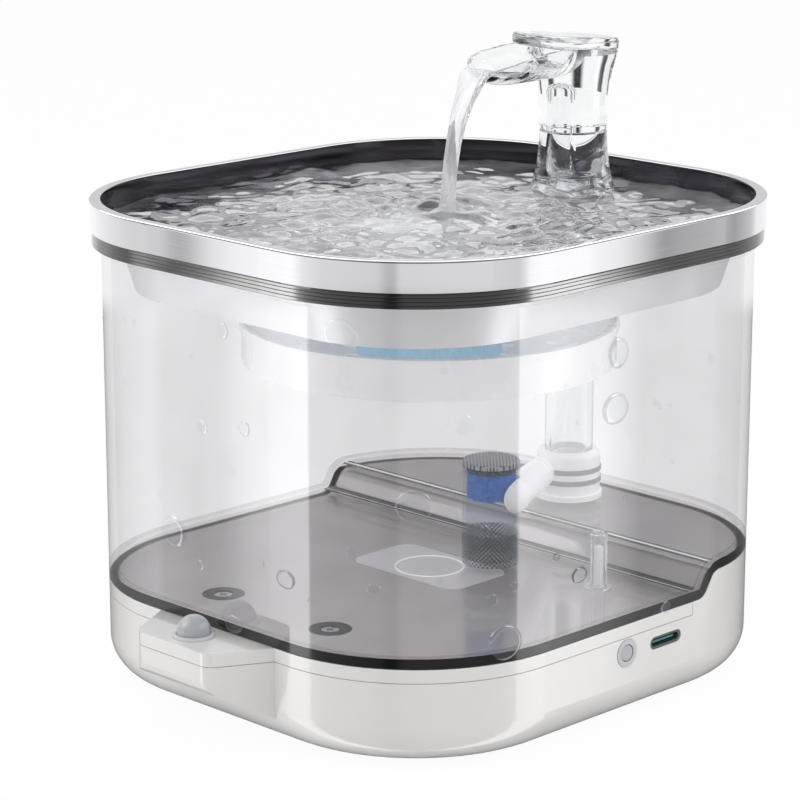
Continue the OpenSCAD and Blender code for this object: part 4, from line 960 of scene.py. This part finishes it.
AZ, EL, DIST, FOCAL_PX, SIZE_PX = 45.0, 14.39, 987.2, 3057.1, 800.0
AIM_RIGHT, AIM_Z = -9.34, 86.9
az, el = math.radians(AZ), math.radians(EL)
back = Vector((math.sin(az) * math.cos(el), -math.cos(az) * math.cos(el), math.sin(el)))
right = Vector((math.cos(az), math.sin(az), 0.0))
up = back.cross(right)
eye = Vector((0, 0, AIM_Z)) + right * AIM_RIGHT + back * DIST
cam_data = bpy.data.cameras.new("camera")
cam_data.sensor_width = 36.0
cam_data.lens = FOCAL_PX / SIZE_PX * 36.0
cam_data.clip_start, cam_data.clip_end = 0.05, 50.0
cam = add_object("camera", cam_data)
cam.matrix_world = Matrix((right, up, back)).transposed().to_4x4()
cam.location = (eye + OFFSET) * 0.001
bpy.context.scene.camera = cam


def floor_plane():
    """White floor: it shows its own white straight, with a share of the shade that falls on it."""
    s, own_white = 6.0, 0.95
    mat, nt, bsdf = new_material("studio_floor")
    nt.nodes.remove(bsdf)
    diffuse = feed(nt, nt.nodes.new("ShaderNodeBsdfDiffuse"), (0.97, 0.97, 0.97, 1))
    glow = nt.nodes.new("ShaderNodeEmission").outputs[0]
    path = nt.nodes.new("ShaderNodeLightPath")
    seen = calculate(nt, "MAXIMUM", path.outputs["Is Camera Ray"], path.outputs["Is Transmission Ray"])
    share = calculate(nt, "MULTIPLY", seen, own_white)
    nt.links.new(mix_shaders(nt, share, diffuse, glow), output_of(mat).inputs[0])
    mesh = new_mesh("studio_floor", [(-s, -s, 0), (s, -s, 0), (s, s, 0), (-s, s, 0)], [(0, 1, 2, 3)])
    mesh.materials.append(mat)
    obj = add_object("studio_floor", mesh)
    obj.visible_glossy = False


floor_plane()

# What low reflections see at each compass direction round the object, from 0 at +X through 90 at +Y. This ring
# is for the rim, which the camera sees at a flat angle.
STUDIO = [
    (0, 0.79), (17, 0.74), (21.4, 0.90), (26, 1.14), (36, 1.2), (48, 1.18), (49.0, 1.06), (49.3, 0.95),
    (49.55, 0.80), (49.8, 0.58), (50.0, 0.37), (50.4, 0.47), (51, 0.53), (59, 0.41), (80, 0.64), (90, 1.0),
    (169, 1.07), (195, 0.92), (219.5, 0.78), (220.45, 0.74), (220.62, 0.56), (220.78, 0.48), (220.95, 0.54),
    (221.1, 0.70), (221.35, 0.90), (221.9, 1.08), (223, 1.16), (236, 1.2), (245, 0.95), (257, 0.82), (292, 0.76),
    (298.4, 0.58), (302, 0.58), (305.5, 0.79), (330, 0.82),
]
# The ring below it, for the clear wall and the base: bright strips to the left and right of the corner
STUDIO_WALL = [
    (0, 0.25), (17, 0.3), (22.3, 0.5), (23.6, 2.2), (46, 2.2), (48, 2.0), (48.9, 1.8), (49.3, 1.1), (49.7, 0.4),
    (51, 0.4), (60, 0.2), (90, 0.15), (130, 0.2), (165, 0.3), (185, 0.45), (205, 0.8), (219.5, 1.1), (220.1, 0.9),
    (220.6, 0.65), (221.1, 0.35), (221.5, 0.5), (221.85, 1.1), (222.2, 1.7), (223, 2.2), (229, 2.4), (242, 2.5),
    (243.6, 0.5), (257, 0.35), (290, 0.2), (298, 0.0), (302, 0.0), (306, 0.3), (330, 0.3),
]
# The same for reflections that go up steeply: bright panels at the sides, a dark screen over the camera
STUDIO_HIGH = [
    (0, 0.3), (28, 0.5), (31.4, 1.4), (35, 5.0), (52, 5.2), (52.6, 5.1), (52.95, 4.5), (53.33, 3.4), (53.7, 2.2),
    (54.06, 0.66), (54.6, 0.1), (56, 0.4), (61, 0.66), (76, 1.9), (100, 1.8), (170, 1.8), (195, 1.8), (215, 1.2),
    (215.7, 0.95), (216.1, 0.2), (216.6, 0.8), (216.95, 2.0), (217.3, 3.4), (218, 4.6), (222, 5.3), (230, 5.2),
    (233.2, 2.7), (235.2, 1.4), (239.2, 0.8), (250, 0.5), (264, 0.35), (290, 0.25), (296, 0.02), (301, 0.02),
    (306, 0.3),
]
# Reflections between the two: pale behind the object, dark in front
STUDIO_MIDDLE = [
    (0, 0.16), (25, 0.14), (40, 0.18), (55, 0.30), (70, 0.45), (90, 0.66), (160, 0.70), (185, 0.8), (205, 0.42),
    (222, 0.16), (300, 0.15), (330, 0.16),
]
# The flat sides reflect so few degrees that these windows need ramps of their own
WINDOWS = [(48, 51), (52, 56), (215, 218), (219.5, 223)]
# Narrow dark flags that draw the dark lines in clear solids
FLAG_STEP, FLAG_HALF, FLAG_SOFT = 30.0, 4.5, 2.5
# Heights of a reflection's direction between which one ring gives way to the next
RIM_BAND, MIDDLE_BAND, HIGH_BAND, OVERHEAD_BAND = (-0.222, -0.212), (0.02, 0.12), (0.345, 0.39), (0.80, 0.88)


def studio_world():
    world = bpy.data.worlds.new("studio")
    bpy.context.scene.world = world
    world.use_nodes = True
    nt = world.node_tree
    nt.nodes.clear()
    new, link = nt.nodes.new, nt.links.new

    def calc(operation, *values):
        return calculate(nt, operation, *values)

    def background(color, strength=1.0):
        return feed(nt, new("ShaderNodeBackground"), color, strength)

    def mixed(share, first, second):
        return mix_shaders(nt, share, first, second)

    def ramp_of(stops, low, high, top):
        ramp = new("ShaderNodeValToRGB")
        while len(ramp.color_ramp.elements) < len(stops):
            ramp.color_ramp.elements.new(0.5)
        for e, (deg, v) in zip(ramp.color_ramp.elements, sorted(stops)):
            e.position = (deg - low) / (high - low)
            e.color = (v / top, v / top, v / top * 1.01, 1)
        share = new("ShaderNodeMapRange")
        share.inputs["From Min"].default_value = low / 360
        share.inputs["From Max"].default_value = high / 360
        link(turn, share.inputs["Value"])
        link(share.outputs[0], ramp.inputs[0])
        return background(ramp.outputs[0], top)

    def round_the_compass(stops, top=6.0):
        inside = [[s for s in stops if low <= s[0] <= high] for low, high in WINDOWS]
        fine = [(w, part) for w, part in zip(WINDOWS, inside) if len(part) > 2]
        coarse = [s for s in stops if not any(low < s[0] < high for (low, high), _ in fine)]
        ring = ramp_of(coarse, 0, 360, top)
        for (low, high), part in fine:
            here = calc("MULTIPLY", calc("GREATER_THAN", turn, low / 360), calc("LESS_THAN", turn, high / 360))
            ring = mixed(here, ring, ramp_of(part, low, high, top))
        return ring

    def between(value, low, high):
        node = new("ShaderNodeMapRange")
        node.interpolation_type = "SMOOTHSTEP"
        node.inputs["From Min"].default_value = low
        node.inputs["From Max"].default_value = high
        link(value, node.inputs["Value"])
        return node.outputs[0]

    coord = new("ShaderNodeTexCoord")
    xyz = new("ShaderNodeSeparateXYZ")
    link(coord.outputs["Generated"], xyz.inputs[0])
    height = xyz.outputs[2]
    turn = calc("ARCTAN2", xyz.outputs[1], xyz.outputs[0])
    turn = calc("FRACT", calc("DIVIDE", turn, 2 * math.pi))
    path = new("ShaderNodeLightPath")
    white = background((1, 1, 1, 1))
    overhead = background((0.40, 0.40, 0.42, 1))
    low = mixed(between(height, *RIM_BAND), round_the_compass(STUDIO_WALL), round_the_compass(STUDIO))
    middle = round_the_compass(STUDIO_MIDDLE)
    high = round_the_compass(STUDIO_HIGH)
    studio = mixed(between(height, *MIDDLE_BAND), low, middle)
    studio = mixed(between(height, *HIGH_BAND), studio, high)
    studio = mixed(between(height, *OVERHEAD_BAND), studio, overhead)

    cycle = calc("FRACT", calc("MULTIPLY", turn, 360.0 / FLAG_STEP))
    off = calc("ABSOLUTE", calc("SUBTRACT", cycle, 0.5))
    flag = calc("SUBTRACT", 1.0, between(off, (FLAG_HALF - FLAG_SOFT) / FLAG_STEP,
                                         (FLAG_HALF + FLAG_SOFT) / FLAG_STEP))
    through = mixed(flag, white, background((0.03, 0.03, 0.035, 1)))

    soft = background((0.98, 0.985, 1.0, 1), 0.62)
    inside = background((0.98, 0.985, 1.0, 1), 1.15)
    scattered = calc("MINIMUM", path.outputs["Diffuse Depth"], 1.0)
    seen_through = mixed(scattered, through, inside)
    glossy = calc("MULTIPLY", path.outputs["Is Glossy Ray"],
                  calc("SUBTRACT", 1.0, path.outputs["Is Transmission Ray"]))
    shown = mixed(glossy, soft, studio)
    shown = mixed(path.outputs["Is Transmission Ray"], shown, seen_through)
    shown = mixed(path.outputs["Is Camera Ray"], shown, white)
    link(shown, new("ShaderNodeOutputWorld").inputs[0])


studio_world()


def softbox(name, compass, height, distance, size, power, spot=(0, 0, 0.09)):
    """Lamp at a compass direction, in metres, unseen in reflections and through glass."""
    light = bpy.data.lights.new(name, "AREA")
    light.shape = "RECTANGLE"
    light.size, light.size_y = size
    light.energy = power
    obj = add_object(name, light)
    a = math.radians(compass)
    obj.location = (distance * math.cos(a), distance * math.sin(a), height)
    aim = Vector(spot) - obj.location
    obj.rotation_mode = "QUATERNION"
    obj.rotation_quaternion = aim.to_track_quat("-Z", "Y")
    obj.visible_glossy = False
    obj.visible_transmission = False


softbox("softbox_left", 232, 0.75, 1.3, (0.9, 1.2), 5.8)
softbox("softbox_right", 32, 0.75, 1.3, (0.9, 1.2), 5.4)
softbox("softbox_top", 315, 1.7, 0.4, (1.4, 1.4), 5.0)

scene = bpy.context.scene
scene.view_settings.view_transform = "Standard"
scene.cycles.use_denoising = True
scene.cycles.max_bounces = 24
scene.cycles.transmission_bounces = 24
scene.cycles.glossy_bounces = 12
scene.cycles.transparent_max_bounces = 24
